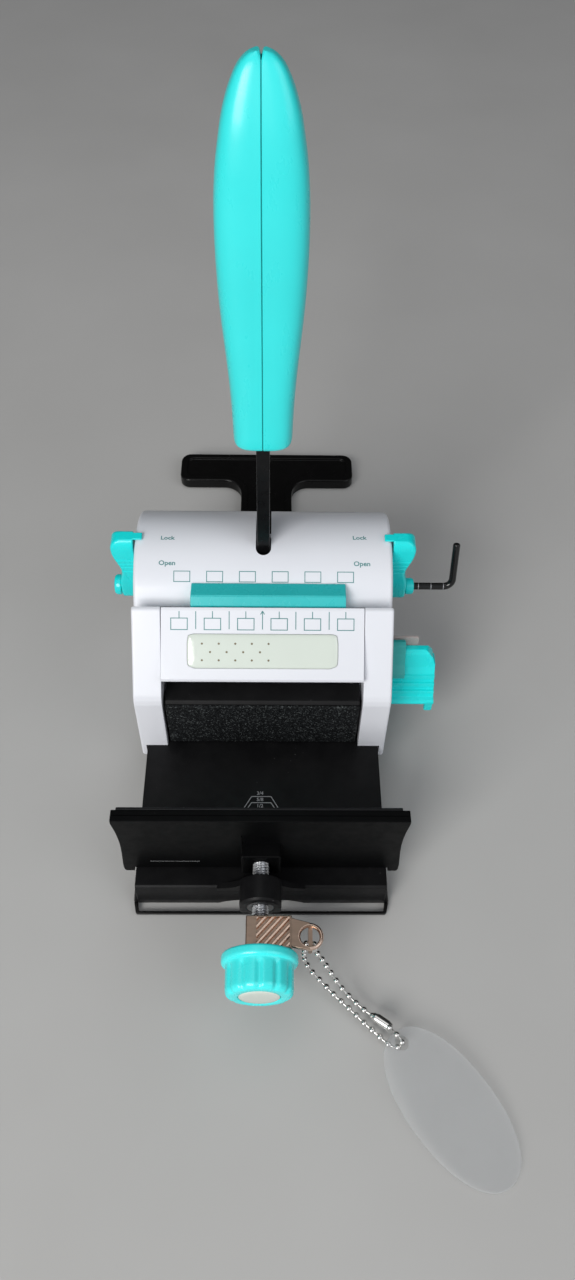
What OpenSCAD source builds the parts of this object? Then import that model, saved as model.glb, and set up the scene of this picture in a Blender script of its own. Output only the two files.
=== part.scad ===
// Desk-top six-hole punch and wire-binding press.
// X runs across the machine, -Y is the front (adjuster side), +Z is up.
// The origin is on the standing surface, on the mid-plane, under the lever shaft.

/* [Body] */
// Overall width across the two side covers
body_w = 100.4; // [99.6:0.2:101]
// Width of the flat bed that the work lies on
bed_w = 94.8; // [93:0.2:95]
// Height of the bed's top above the standing surface
bed_h = 15.6; // [15.4:0.1:15.7]
// Front edge of the bed
bed_front = -114.3; // [-114.6:0.1:-114]
// Width of the sloping front panel
panel_w = 76.8; // [74:0.2:77.6]
// Wall of the moulded covers
skin = 2.2; // [1.8:0.1:2.2]

/* [Head] */
// Height of the lever shaft
axis_z = 49.3; // [49.2:0.1:49.4]
// Distance of the lever shaft behind the origin
axis_y = 4.5; // [4.4:0.1:4.6]
// Outer radius of the rolled head cover
head_r = 30.7; // [30.4:0.1:30.8]
// Outer width of the head cover
head_w = 101.2; // [100.8:0.2:101.4]
// Width of the slot that the lever swings in
slot_w = 6; // [5.6:0.2:6.4]

/* [Punch] */
// Distance from hole to hole
hole_pitch = 12.7; // [12.7:0.1:12.7]
// Number of punches
hole_count = 6; // [6:1:6]
// Width of one punch
punch_w = 5.4; // [5:0.2:5.6]
// Height of one punch
punch_h = 4.2; // [3.8:0.2:4.4]
// Forward travel of the ram for the full swing
ram_travel = 12; // [12:0.5:12]

/* [Lever] */
// Thickness of the lever plate
lever_t = 4.8; // [4.4:0.2:4.8]
// Backward lean of the lever at rest, in degrees
lever_tilt = 8; // [7:0.5:9]
// Swing of the lever from rest to fully down, in degrees
lever_swing = 65; // [65:1:65]
// Length of the two-piece grip
grip_len = 122.6; // [118:0.5:124]
// Depth of the grip from front to back
grip_d = 23; // [20:1:24]

/* [Fence] */
// Width of the fence plate
fence_w = 104.6; // [102:0.2:106]
// Height of the fence above the bed
fence_h = 39.5; // [36:0.5:40]
// Height of the adjuster screw
screw_z = 30.2; // [30:0.1:30.4]
// Radius of the knob's flange
knob_r = 13.3; // [12.6:0.1:13.4]

/* [Foot] */
// Width of the T-shaped rear foot
foot_w = 90.4; // [80:1:96]
// Distance of the foot's rear edge behind the origin
foot_back = 131; // [126:1:136]

/* [Tag] */
// Half length of the oval tag
tag_a = 29.8; // [29.6:0.1:30.4]
// Half width of the oval tag
tag_b = 15.2; // [14:0.2:16]

/* [Hidden] */
$fn = 64;

teal = [0.20, 0.84, 0.82];
white = [0.93, 0.94, 0.97];
black = [0.09, 0.09, 0.10];
steel = [0.62, 0.63, 0.65];
cream = [0.88, 0.89, 0.83];
copper = [0.70, 0.52, 0.43];

frame_x = 43.5;                    // inner face of each side frame
frame_t = 3;                       // side frame thickness
cover_x = 39.2;                    // inner face of each side cover
cam_h0 = 5.2;                      // cam reach at rest
cam_rb = ram_travel / (lever_swing * PI / 180); // involute base radius
hole_x = [for (i = [0 : hole_count - 1]) hole_pitch * (i - (hole_count - 1) / 2)];
punch_z = 58;
clear = 0.05;
rod_z = 38;
rod_x = 33;

// A flat profile in (y, z), thickened along x from x0 to x1
module along_x(x0, x1) translate([x0, 0, 0]) rotate([90, 0, 90]) linear_extrude(height = x1 - x0) children();
module xcyl(x0, x1, r, y = 0, z = 0) translate([x0, y, z]) rotate([0, 90, 0]) cylinder(h = x1 - x0, r = r);
module ycyl(y0, y1, r, x = 0, z = 0) translate([x, y1, z]) rotate([90, 0, 0]) cylinder(h = y1 - y0, r = r);
module box(x0, x1, y0, y1, z0, z1) translate([x0, y0, z0]) cube([x1 - x0, y1 - y0, z1 - z0]);
module both() { children(); mirror([1, 0, 0]) children(); }
module on_axis() translate([0, axis_y, axis_z]) children();
// The concave corner of a fillet of radius r, drawn at the origin, opening to +x +y
module corner(r) difference() { square(r); translate([r, r]) circle(r = r); }

// ---------------- base ----------------
module base_profile() polygon([[bed_front + 0.7, bed_h], [bed_front - 0.1, bed_h - 0.7], [bed_front - 0.7, 10],
  [bed_front - 0.9, 5], [bed_front - 0.5, 0.8], [36, 0.8], [36, bed_h]]);

module base_bed() color(black) difference() {
  union() {
    difference() {
      along_x(-bed_w / 2, bed_w / 2) base_profile();
      box(-bed_w / 2 + 3, bed_w / 2 - 3, bed_front + 3.2, 33, -1, bed_h - 4);
    }
    // the side walls flare out a little towards the foot at the front
    both() translate([bed_w / 2, -60, 0]) rotate([90, 0, 0]) linear_extrude(height = 54.8)
      polygon([[-0.6, 0.8], [1.5, 0.8], [1.5, 3], [0, 14], [-0.6, 14]]);
    // corner posts over the rubber pads
    for (x = [-38, 38], y = [-104, 26]) translate([x, y, 0.8]) cylinder(h = bed_h - 4, r = 6.5);
    // ribs under the bed
    for (x = [-20, 20]) box(x - 1.2, x + 1.2, bed_front + 3, -16, 5, bed_h - 3.9);
    // lug that carries the adjuster screw
    along_x(-7.5, 7.5) polygon([[-106, bed_h], [-112.4, bed_h], [-118, 23], [-118, screw_z], [-127.8, screw_z],
      [-127.8, screw_z - 4.5], [-124.5, 18.5], [-118, 9.5], [-114.4, 3.5], [-106, 3.5]]);
    ycyl(-127.8, -118, 7.5, 0, screw_z);
    // webs that sweep from the front edge up to the lug
    both() translate([7.5, -112.5, bed_h]) rotate([90, 0, 0]) linear_extrude(height = 2.4) corner(5);
    // screw posts for the foot and the frames
    for (x = [-8, 8], y = [18, 28]) translate([x, y, 6.5]) cylinder(h = bed_h - 10, r = 3.6);
    for (x = [-38.5, 38.5], y = [0, 14]) translate([x, y, 6.5]) cylinder(h = bed_h - 10, r = 3.6);
  }
  // bore for the threaded insert
  ycyl(-128, -117, 5, 0, screw_z);
  // opening for the foot's stem in the rear wall
  box(-13.2, 13.2, 30, 40, -1, 6.5);
  // screw holes
  for (x = [-8, 8], y = [18, 28]) translate([x, y, 6]) cylinder(h = 5.5, r = 1.6);
  for (x = [-38.5, 38.5], y = [0, 14]) translate([x, y, 6]) cylinder(h = 20, r = 2.1);
}

module foot_plan(g) {
  bar_f = foot_back - 20;
  h = foot_w / 2;
  translate([-h + g, bar_f + 4]) square([foot_w - 2 * g, 12]);
  translate([-h + 4, bar_f + g]) square([foot_w - 8, 20 - 2 * g]);
  for (x = [-h + 4, h - 4], y = [bar_f + 4, foot_back - 4]) translate([x, y]) circle(r = 4 - g);
  translate([-13 + g, -14 + g]) square([26 - 2 * g, bar_f + 16]);
  both() translate([13 - g, bar_f + g]) mirror([0, 1]) corner(9);
}

module rear_foot() color(black) difference() {
  translate([0, 0, 0.8]) linear_extrude(height = 5.6) foot_plan(0);
  // shallow pocket that leaves a raised rim
  intersection() {
    translate([0, 0, 5.4]) linear_extrude(height = 3) foot_plan(3.2);
    box(-60, 60, 38, 140, 0, 10);
  }
  for (x = [-8, 8], y = [18, 28]) translate([x, y, 0]) { cylinder(h = 10, r = 2.1); cylinder(h = 4.1, r = 3.6); }
}

module front_rail() color(black) translate([0, 0, 0.8]) linear_extrude(height = 1.6) difference() {
  polygon([[-48.9, bed_front - 0.68], [-47.9, bed_front - 5.2], [47.9, bed_front - 5.2], [48.9, bed_front - 0.68]]);
  polygon([[-47.5, bed_front], [-46.9, bed_front - 4.2], [46.9, bed_front - 4.2], [47.5, bed_front]]);
}

module foot_pads() color([0.13, 0.13, 0.14]) {
  for (x = [-38, 38], y = [-104, 26]) translate([x, y, 0]) cylinder(h = 0.8, r = 6);
  for (x = [-34, 34]) translate([x, foot_back - 10, 0]) cylinder(h = 0.8, r = 7);
  box(-11, 11, -10, 10, 0, 0.8);
}

module screw_insert() color([0.72, 0.60, 0.36]) difference() {
  ycyl(-127.8, -118, 5, 0, screw_z);
  ycyl(-129, -117, 3.05, 0, screw_z);
}

module base_screws() color(steel) {
  for (x = [-8, 8], y = [18, 28]) translate([x, y, 0.9]) { cylinder(h = 10.2, r = 1.6); cylinder(h = 3.2, r = 3.4); }
  for (x = [-38.5, 38.5], y = [0, 14]) translate([x, y, 4.2]) { cylinder(h = 14, r = 2); cylinder(h = 2.3, r = 3.5); }
}

// ---------------- fence and adjuster ----------------
// The plate's sides are hollowed, and its feet reach down past the bed's sides
module fence_plate() color(black) let (h = fence_w / 2, t = bed_h + 0.35 + fence_h)
  translate([0, -102.2, 0]) rotate([90, 0, 0]) linear_extrude(height = 4.5)
    polygon([[-h, t], [-h, 53], [-h + 0.4, 50], [-h + 0.9, 46], [-h + 1.2, 41], [-h + 1.3, 36], [-h + 1.1, 30], [-h + 0.7, 24], [-h + 0.3, 18.4], [-h + 0.3, 14.2], [-h + 1.1, 12.9], [-48, 12.9], [-48, bed_h + 0.35],
      [48, bed_h + 0.35], [48, 12.9], [h - 1.1, 12.9], [h - 0.3, 14.2], [h - 0.3, 18.4], [h - 0.7, 24], [h - 1.1, 30], [h - 1.3, 36], [h - 1.2, 41], [h - 0.9, 46], [h - 0.4, 50], [h, 53], [h, t]]);

module fence_facing() color(black) box(-50.6, 49.8, -102.2, -101.2, bed_h + 0.35, bed_h + 0.35 + fence_h);

module fence_nut() color(black) difference() {
  box(-7.2, 7.2, -112, -106.7, screw_z - 7.4, screw_z + 7.4);
  ycyl(-113, -107.2, 3.05, 0, screw_z);
}

module adjuster_bolt() color(steel) {
  ycyl(-156, -107.4, 3, 0, screw_z);
}

module adjuster_knob() color(teal) difference() {
  union() {
    ycyl(-148.2, -144.6, knob_r, 0, screw_z);
    ycyl(-158.8, -148.2, knob_r - 1.5, 0, screw_z);
  }
  ycyl(-156, -144, 3, 0, screw_z);
  ycyl(-159, -158, 7.1, 0, screw_z);
  // twelve shallow flutes
  for (i = [0 : 11]) rotate_about_screw(i * 30) ycyl(-160, -149.4, 2.6, knob_r + 0.5, screw_z);
}
module rotate_about_screw(a) translate([0, 0, screw_z]) rotate([0, a, 0]) translate([0, 0, -screw_z]) children();

module knob_disc() color(cream) ycyl(-159.1, -158, 7.1, 0, screw_z);

module spacer_clip() color(copper) {
  difference() {
    box(-4.9, 11, -143.9, -132.4, 25.6, 35.9);
    // open fork that straddles the screw
    box(-3.25, 3.25, -145, -131, 20, screw_z);
    ycyl(-145, -131, 3.25, 0, screw_z);
    // diagonal grooves in the top
    intersection() {
      box(-1.2, 10.2, -143, -133.4, 35.3, 37);
      for (i = [-2 : 6]) translate([i * 2.6, -138, 36.2]) rotate([0, 0, -40]) cube([1.1, 24, 1.6], center = true);
    }
  }
  difference() {
    union() {
      translate([17.2, -139.7, 34.2]) cylinder(h = 1.7, r = 4.7);
      box(11, 15, -143, -135.5, 34.2, 35.9);
      // small eye under the ring that the chain hangs in
      box(16.7, 18.1, -143.4, -136, 27.2, 34.3);
    }
    translate([17.2, -139.7, 34.2]) cylinder(h = 8, r = 3.3);
    xcyl(16, 19, 1.5, -140.1, 29.6);
  }
}

// ---------------- chain and tag ----------------
// Route of the bead chain: from the clip's eye down to the tag's hole, under its rim, and back to the eye
chain_path = [[17.9, -140.1, 29.6], [19, -140.2, 27.8], [19.2, -140.4, 25.4], [19.4, -140.6, 23], [21.1, -141.6, 20], [22.8, -142.8, 17], [24.4, -144.2, 14.2],
  [26.2, -146, 11.8], [28.2, -148.1, 9.6], [30.4, -150.2, 7.9], [32.8, -152.3, 6.6], [35.4, -154.5, 5.8], [38.1, -156.6, 5.6], [41, -158.6, 5.8],
  [43.8, -160.6, 6.3], [46, -162.6, 7.2], [47.7, -164.6, 7.8], [49.3, -166.2, 7.2], [50, -167.1, 5.6], [49.6, -167.8, 3.7], [48, -168, 2.9], [46.2, -167.4, 2.9],
  [43.8, -165.6, 3], [40.9, -163.1, 3.2], [38.2, -160.8, 3.4], [35.6, -158.4, 3.6], [33, -155.9, 3.8], [30.3, -153.6, 4.1],
  [27.6, -151.3, 4.6], [25, -148.9, 5.2], [22.4, -146.5, 6.2], [19.8, -144.4, 7.7], [17.6, -142.4, 9.8], [16.1, -140.8, 12.8],
  [15.6, -140, 17], [15.6, -139.8, 21], [15.7, -139.8, 25], [16.1, -139.9, 28], [17, -140.1, 29.6]];
chain_r = 1.2;
chain_n = 8;

function unit(v) = v / norm(v);
function tangent(p, i) = unit(p[min(i + 1, len(p) - 1)] - p[max(i - 1, 0)]);
// Rings stay upright to a fixed reference direction, so the sweep doesn't twist
function ring_points(c, t, r, n, ref) =
  let (u = unit(cross(t, ref)), v = cross(t, u))
  [for (k = [0 : n - 1]) c + r * (cos(360 * k / n) * u + sin(360 * k / n) * v)];
module sweep(path, r, n, ref) {
  m = len(path);
  pts = [for (i = [0 : m - 1]) each ring_points(path[i], tangent(path, i), r, n, ref)];
  faces = concat([[for (k = [0 : n - 1]) k]], [[for (k = [n - 1 : -1 : 0]) (m - 1) * n + k]],
    [for (i = [0 : m - 2], k = [0 : n - 1]) each [[i * n + k, (i + 1) * n + k, i * n + (k + 1) % n],
      [i * n + (k + 1) % n, (i + 1) * n + k, (i + 1) * n + (k + 1) % n]]]);
  polyhedron(points = pts, faces = faces, convexity = 8);
}

module ball_chain() color([0.78, 0.78, 0.80]) sweep(chain_path, chain_r, chain_n, [0.8, 0.55, 0.25]);

// Sleeve that joins the chain's two ends; it wraps the chain
module chain_connector() color([0.75, 0.75, 0.77]) difference() {
  translate([43.4, -160.2, 6.1]) rotate([0, 0, -35]) rotate([0, 85, 0]) translate([0, 0, -3.9]) cylinder(h = 7.8, r = 1.7);
  sweep([for (i = [12 : 17]) chain_path[i]], chain_r + 0.12, 12, [0.8, 0.55, 0.25]);
}

tag_at = [65.3, -187.2];
tag_turn = -52.5;
tag_lift = 4.3;                    // the chain holds the near end up by this much
module oval_tag() color([0.85, 0.86, 0.88, 0.35])
  translate([tag_at[0], tag_at[1], 0.3 + tag_lift / 2]) rotate([0, 0, tag_turn]) rotate([0, asin(tag_lift / (2 * tag_a)), 0])
  linear_extrude(height = 1.9) difference() {
    oval(tag_a, tag_b);
    translate([-tag_a + 4.4, 0]) circle(r = 2.4);
  }
// An oval, a little fuller than an ellipse
module oval(a, b) polygon([for (t = [0 : 5 : 355]) [a * sign(cos(t)) * pow(abs(cos(t)), 0.93), b * sign(sin(t)) * pow(abs(sin(t)), 0.93)]]);

// ---------------- covers ----------------
module side_front() polygon([[-26.2, 73.1], [-27.6, 73.1], [-50.6, 48], [-51.6, 46.2], [-52.2, 44], [-53.4, bed_h + 0.2], [-26.2, bed_h + 0.2]]);
module side_inside() polygon([[-20, 66.4], [-30, 66.4], [-48.6, 46.1], [-49.6, 43.6], [-50.8, 14], [-20, 14]]);
module side_plate() polygon([[-26.2, 73.1], [-27.6, 73.1], [-50.6, 48], [-51.6, 46.2], [-52.2, 44], [-53.8, 7.8], [35.2, 7.8], [35.2, 45.6], [-26.2, 45.6]]);

module side_cover_right() color(white) difference() {
  union() {
    difference() {
      along_x(cover_x, body_w / 2) side_front();
      along_x(cover_x + skin, body_w / 2 - skin) side_inside();
    }
    along_x(body_w / 2 - skin, body_w / 2) side_plate();
  }
  // window for the chip tray
  box(30, 60, -40.4, -20.2, 16.2, 32.2);
  cover_screw_holes();
}
module side_cover_left() color(white) mirror([1, 0, 0]) difference() {
  union() {
    difference() {
      along_x(cover_x, body_w / 2) side_front();
      along_x(cover_x + skin, body_w / 2 - skin) side_inside();
    }
    along_x(body_w / 2 - skin, body_w / 2) side_plate();
  }
  cover_screw_holes();
}
cover_screw_at = [[26, 22], [-1, 26], [23, 41]];
module cover_screw_holes() {
  for (p = cover_screw_at) { xcyl(46, 52, 1.6, p[0], p[1]); xcyl(body_w / 2 - 1.2, 52, 2.9, p[0], p[1]); }
  // clearance round the lever shaft
  xcyl(46, 60, 6.3, axis_y, axis_z);
}
module cover_screws() color(steel) both() for (p = cover_screw_at) {
  xcyl(frame_x + 0.2, body_w / 2 - 1.2, 1.5, p[0], p[1]);
  xcyl(body_w / 2 - 1.2, body_w / 2, 2.8, p[0], p[1]);
}

module front_panel() color(white) difference() {
  along_x(-panel_w / 2, panel_w / 2) polygon([[-26.2, 73.1], [-27.3, 72.5], [-47.8, 55.8], [-48.1, 54.6],
    [-46.9, 53.4], [-45.4, 54.3], [-28.6, 68.2], [-28.6, 66], [-26.2, 66]]);
  label_body();
}
module label_plate() color(cream) label_body();
module label_body() translate([0, -27.3, 72.5]) rotate([39.17, 0, 0]) translate([0, 1.4, -0.5]) linear_extrude(height = 1.1)
  polygon([[-28.6, -22.6], [-25.8, -23.6], [25.8, -23.6], [28.6, -22.6], [28.8, -19], [28.8, -14], [28.4, -11], [26.6, -10.4],
    [-26.6, -10.4], [-28.4, -11], [-28.8, -14], [-28.8, -19]]);

module head_cover() color(white) difference() {
  union() {
    // rolled skin
    on_axis() difference() {
      xcyl(-head_w / 2, head_w / 2, head_r);
      xcyl(-head_w / 2 + skin, head_w / 2 - skin, head_r - skin);
      // open below the front edge
      along_x(-60, 60) polygon([[0, 0], [-60 * sin(56), 60 * cos(56)], [-60, -10], [-60, -60], [60, -60], [60, -3.5], [8, -3.5]]);
    }
    // rear wall
    box(-head_w / 2, head_w / 2, axis_y + head_r - skin, axis_y + head_r, bed_h + 0.3, axis_z);
  }
  // seats for the side covers' rear corners
  both() box(body_w / 2 - skin - 0.2, 60, 20, 40, 0, 45.8);
  // shaft holes
  xcyl(-60, 60, 6.3, axis_y, axis_z);
  // lever slot with a round front end
  box(-slot_w / 2, slot_w / 2, -1.7, 60, 47.5, 100);
  translate([0, -1.7, 60]) cylinder(h = 40, r = slot_w / 2);
}

module slot_bar() color(teal) difference() {
  along_x(-27.8, 31.9) polygon([[-14.6, 73.4], [-15.4, 74.1], [-21.6, 74.7], [-22.3, 74.5], [-24.9, 72.2], [-25.1, 71.6], [-25.1, 67.6], [-19, 64]]);
  xcyl(-40, 40, head_r + 0.03, axis_y, axis_z);
  box(-40, 40, -22, -10, 50, 66.6);
}

// ---------------- frames and punch ----------------
module frame_plan() polygon([[-49, bed_h], [-47.8, 43.6], [-29.8, 63.4], [-20.2, 63.4], [-14, 69.2], [-4, 74], [4.5, 75.6], [14, 74], [21, 69],
  [28.6, 58], [31.5, 48], [31.5, bed_h]]);
tie_at = [[-10, 22], [30, rod_z]];
module side_frame(window) difference() {
  along_x(frame_x, frame_x + frame_t) frame_plan();
  xcyl(40, 50, 7, axis_y, axis_z);
  for (p = tie_at) xcyl(40, 50, 2.5, p[0], p[1]);
  for (p = cover_screw_at) xcyl(40, 50, 1.5, p[0], p[1]);
  if (window) box(40, 50, -40.2, -20.4, 16.4, 32);
}
module frame_flange() difference() {
  box(34, frame_x, -5, 19, bed_h, bed_h + 3);
  for (y = [0, 14]) translate([38.5, y, 10]) cylinder(h = 12, r = 2);
}
module side_frame_right() color(black) { side_frame(true); frame_flange(); }
module side_frame_left() color(black) mirror([1, 0, 0]) { side_frame(false); frame_flange(); }

module tie_rods() color(steel) for (p = tie_at) { xcyl(-frame_x, frame_x, 3, p[0], p[1]);
  both() xcyl(frame_x, frame_x + frame_t, 2.5, p[0], p[1]); }

module punch_holes(y0, y1, c) for (x = hole_x) box(x - punch_w / 2 - c, x + punch_w / 2 + c, y0, y1, punch_z - punch_h / 2 - c, punch_z + punch_h / 2 + c);

module guide_plate() color(steel) difference() {
  box(-frame_x, frame_x, -25, -20, 32, 63.2);
  punch_holes(-26, -19, clear);
  both() ycyl(-26, -19, 4 + clear, rod_x, rod_z);
}
module die_plate() color(steel) difference() {
  along_x(-cover_x + 0.3, cover_x - 0.3) polygon([[-26.2, 50], [-29.6, 50], [-29.6, 62.8], [-28.6, 66], [-27.2, 66], [-26.2, 65]]);
  punch_holes(-31, -25, clear);
}
module paper_stop() color(steel) {
  box(-frame_x, frame_x, -26.2, -25, 50, 54);
  both() box(frame_x - 3.4, frame_x, -26.2, -25, 54, 63.2);
}

module ram_plate() color(steel) difference() {
  union() {
    box(-38, 38, -7.6, -2.2, 28, 63.5);
    box(-6, 6, -2.2, -1, 29, 39.6);
  }
  // notch that the lever plate moves in
  box(-2.9, 2.9, -9, 0, 42, 70);
  both() ycyl(-9, 0, 4, rod_x, rod_z);
}
module ram_rods() color(steel) both() ycyl(-46, 24.5, 4, rod_x, rod_z);

module platen() color(black) difference() {
  along_x(-38, 38) polygon([[-50.8, 16.2], [-50.8, 42.8], [-49.8, 44], [-41, 44], [-41, 16.2]]);
  both() ycyl(-46, -40, 4, rod_x, rod_z);
}
module platen_pad() color([0.12, 0.12, 0.13]) box(-38, 38, -52, -50.8, 16.4, 42.6);

module punch_pins() color(steel) for (x = hole_x) box(x - punch_w / 2, x + punch_w / 2, -21.6, -7.6, punch_z - punch_h / 2, punch_z + punch_h / 2);

module rod_bearings() color(steel) both() difference() {
  box(26, frame_x, 3, 9, 32, 43.8);
  ycyl(2, 10, 4 + clear, rod_x, rod_z);
}

spring_turns = 9;
function helix(x, y0, y1, z, r, turns, steps) = [for (i = [0 : turns * steps])
  [x + r * cos(360 * i / steps), y0 + (y1 - y0) * i / (turns * steps), z + r * sin(360 * i / steps)]];
module return_springs() color(steel) for (x = [-22, 22]) {
  sweep_y(helix(x, -1.6, 26.2, rod_z, 2.6, spring_turns, 10), 0.45, 6);
}
module sweep_y(path, r, n) sweep(path, r, n, [0, 1, 0]);

// ---------------- shaft, lever, grip ----------------
module main_shaft() color(steel) on_axis() difference() {
  union() {
    xcyl(-51, 51, 5);
    both() xcyl(51, 58.6, 2.9);
  }
  both() { xcyl(11, 60, 1.56); xcyl(54, 60, 2.25); }
}
module shaft_bushes() color([0.72, 0.60, 0.36]) on_axis() both() difference() {
  xcyl(frame_x, frame_x + frame_t, 7);
  xcyl(40, 50, 5);
}

function cam_point(a) = let (h = cam_h0 + cam_rb * a * PI / 180) [-h * cos(a) + cam_rb * sin(a), -h * sin(a) - cam_rb * cos(a)];
// Involute cam: its reach grows evenly with the lever's angle
module cam() polygon(concat([for (a = [-6 : 3 : 69]) cam_point(a)], [[5.4, -18.6], [8.4, -8], [8.7, 0], [0, 6], [-8.6, 0], [-8.4, -3]]));
module lean() rotate([-lever_tilt, 0, 0]) children();

module lever_arm() color(black) on_axis() difference() {
  union() {
    xcyl(-lever_t / 2, lever_t / 2, 8.8);
    along_x(-lever_t / 2, lever_t / 2) cam();
    lean() along_x(-lever_t / 2, lever_t / 2) polygon([[-8.6, 2], [-10.4, 16], [-10.4, 30], [-12.2, 38], [-12.2, 84], [-9, 90], [-5, 186], [-2, 190], [2, 186], [5, 90], [6, 82], [6, 14], [8.6, 2]]);
  }
  xcyl(-5, 5, 5.03);
  lean() for (s = [96, 136, 172]) xcyl(-5, 5, 1.6, -1.5, s);
}
module hub_collars() color(steel) on_axis() both() difference() {
  xcyl(2.7, 5.5, 6.2);
  xcyl(2, 6, 5);
}

grip_s0 = 75.7;
gk = grip_len / 122.6;
// Half-widths of the grip at heights above its lower end
grip_side = [[0, 9.4], [1.2, 10.4], [6, 10.6], [20, 11.2], [33, 12.2], [46, 13.4], [58, 14.2], [73, 14.6], [84, 14.4], [92, 13.8], [98, 13],
  [105, 11.8], [111, 10.2], [115.6, 8.4], [119, 6.6], [121.2, 4.6], [122.6, 2.4]];
module grip_half() on_axis() lean() translate([0, 0, grip_s0]) difference() {
  intersection() {
    translate([0, 14, 0]) rotate([90, 0, 0]) linear_extrude(height = 30)
      polygon(concat([[0.05, 0]], [for (p = grip_side) [p[1], p[0] * gk]], [[0.05, 122.6 * gk]]));
    along_x(0, 20) polygon([[-grip_d + 9.6, 0], [-grip_d + 8, 2], [-grip_d + 8, 80], [-grip_d + 9.5, 104], [-grip_d + 14, 122.6 * gk],
      [0, 122.6 * gk], [5.4, 104], [8, 80], [8, 2], [6, 0]]);
  }
  // pocket for the lever plate
  along_x(-1, lever_t / 2 + 0.05) polygon([[-12.35, -1], [-12.35, 8.5], [-9.1, 14.5], [-5.1, 110.7], [-2, 114.7], [2.1, 110.7], [5.1, 14.5], [6.2, 6.3], [6.2, -1]]);
}
module grip_screw_cut(r) for (s = [96, 136, 172]) lean() xcyl(-20, 20, r, -1.5, s);
module grip_right() color(teal) difference() { grip_half(); on_axis() for (s = [96, 136, 172]) lean() xcyl(-1, 8.3, 1.55, -1.5, s); }
module grip_left() color(teal) difference() {
  mirror([1, 0, 0]) grip_half();
  on_axis() grip_screw_cut(1.55);
  on_axis() lean() for (s = [96, 136, 172]) xcyl(-20, -6, 3, -1.5, s);
}
module grip_screws() color(steel) on_axis() lean() for (s = [96, 136, 172]) { xcyl(-6, 8, 1.5, -1.5, s); xcyl(-8.4, -6, 2.9, -1.5, s); }

// ---------------- lock levers and edge guide ----------------
module lock_profile() {
  circle(r = 5);
  polygon([[-5, 0], [-4.4, 10], [-4, 28], [-3.4, 30.4], [-2, 32], [2, 32], [3.4, 30.4], [4, 28], [4.4, 10], [5, 0]]);
}
// The levers stand a little forward, with the pointer over the mark
module lock_body() on_axis() rotate([3.2, 0, 0]) difference() {
  union() {
    along_x(51.2, 59) lock_profile();
    // thumb paddle
    along_x(58.9, 60.5) polygon([[-4, 18], [-4.4, 22], [-4, 28], [-3, 30.2], [-1.6, 31.4], [1.6, 31.4], [3, 30.2], [4, 28], [4.4, 22], [4, 18]]);
    // pointer that reaches over the head cover
    along_x(47.6, 51.4) polygon([[-1.6, 31.15], [-1.6, 32], [1.6, 32], [1.6, 31.15]]);
  }
  xcyl(50, 58.65, 2.95);
  xcyl(50, 62, 2.35);
  // grip grooves
  for (z = [14.5, 17, 19.5]) along_x(50, 62) translate([-5.2, z]) circle(r = 0.9, $fn = 24);
}
module lock_lever_right() color(teal) lock_body();
module lock_lever_left() color(teal) mirror([1, 0, 0]) lock_body();

module collet_body(bore, r, x) on_axis() difference() {
  union() { xcyl(59.3, x, r); xcyl(54.2, 59.3, 2.2); }
  if (bore) xcyl(50, 64, 1.55);
}
module rod_collet() color(teal) collet_body(true, 3.5, 62.8);
module shaft_plug() color(teal) mirror([1, 0, 0]) collet_body(false, 4.3, 62.3);

module edge_guide_rod() color(black) on_axis() rotate([-20, 0, 0]) {
  xcyl(24, 75.6, 1.5);
  translate([75.5, 0, 3.5]) rotate([90, 0, 0]) rotate([0, 0, -90]) rotate_extrude(angle = 90) translate([3.5, 0]) circle(r = 1.46);
  translate([79, 0, 3.4]) cylinder(h = 16.6, r = 1.5);
}

// ---------------- chip tray ----------------
module chip_tray() color(white) difference() {
  box(-38, 50.6, -39.4, -21.4, 17, 31);
  box(-36.6, 49, -38, -22.8, 18.4, 40);
}
module tray_grip() color(teal) { tray_grip_body(); box(67, 70.3, -38.6, -36.6, 19.9, 25.2); }
module tray_grip_body() along_x(50.6, 70.6) polygon([[-22.2, 43.8], [-24.6, 44.2], [-26.4, 43], [-27.2, 40.4], [-28.4, 37], [-30.4, 34.4],
  [-31.2, 34.6], [-31.8, 31.6], [-33.2, 31.8], [-33.8, 28.9], [-35.2, 29.1], [-35.8, 26.4], [-37.4, 26.2], [-38.8, 25.4], [-38.4, 24.2],
  [-34.6, 19.8], [-33.6, 20.4], [-22.2, 36]]);
module tray_flap() color([0.9, 0.82, 0.82, 0.4]) box(50.6, 63.3, -22.1, -20.9, 24, 48.6);
module tray_catch() color([0.15, 0.62, 0.6]) translate([0, 1.4, 1.8]) along_x(body_w / 2, 57.6) polygon([[-24.2, 46.4], [-25.8, 47], [-27.4, 46.4], [-28.8, 43], [-31.4, 38.8], [-34.6, 36.4],
  [-35.2, 34.4], [-33.4, 33.4], [-31.2, 35.6], [-29, 38.4], [-27.8, 41.6], [-26.9, 44], [-25.2, 45.1], [-24.2, 45]]);

base_bed();
rear_foot();
front_rail();
foot_pads();
screw_insert();
fence_plate();
fence_facing();
fence_nut();
adjuster_bolt();
adjuster_knob();
knob_disc();
spacer_clip();
ball_chain();
chain_connector();
oval_tag();
side_cover_left();
side_cover_right();
front_panel();
label_plate();
head_cover();
slot_bar();
side_frame_left();
side_frame_right();
tie_rods();
guide_plate();
die_plate();
paper_stop();
ram_plate();
ram_rods();
platen();
platen_pad();
punch_pins();
return_springs();
rod_bearings();
main_shaft();
shaft_bushes();
lever_arm();
hub_collars();
grip_left();
grip_right();
grip_screws();
lock_lever_left();
lock_lever_right();
rod_collet();
shaft_plug();
edge_guide_rod();
chip_tray();
tray_grip();
tray_flap();
tray_catch();
base_screws();
cover_screws();
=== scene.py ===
import bpy, bmesh, math, random
from mathutils import Matrix, Vector


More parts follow.
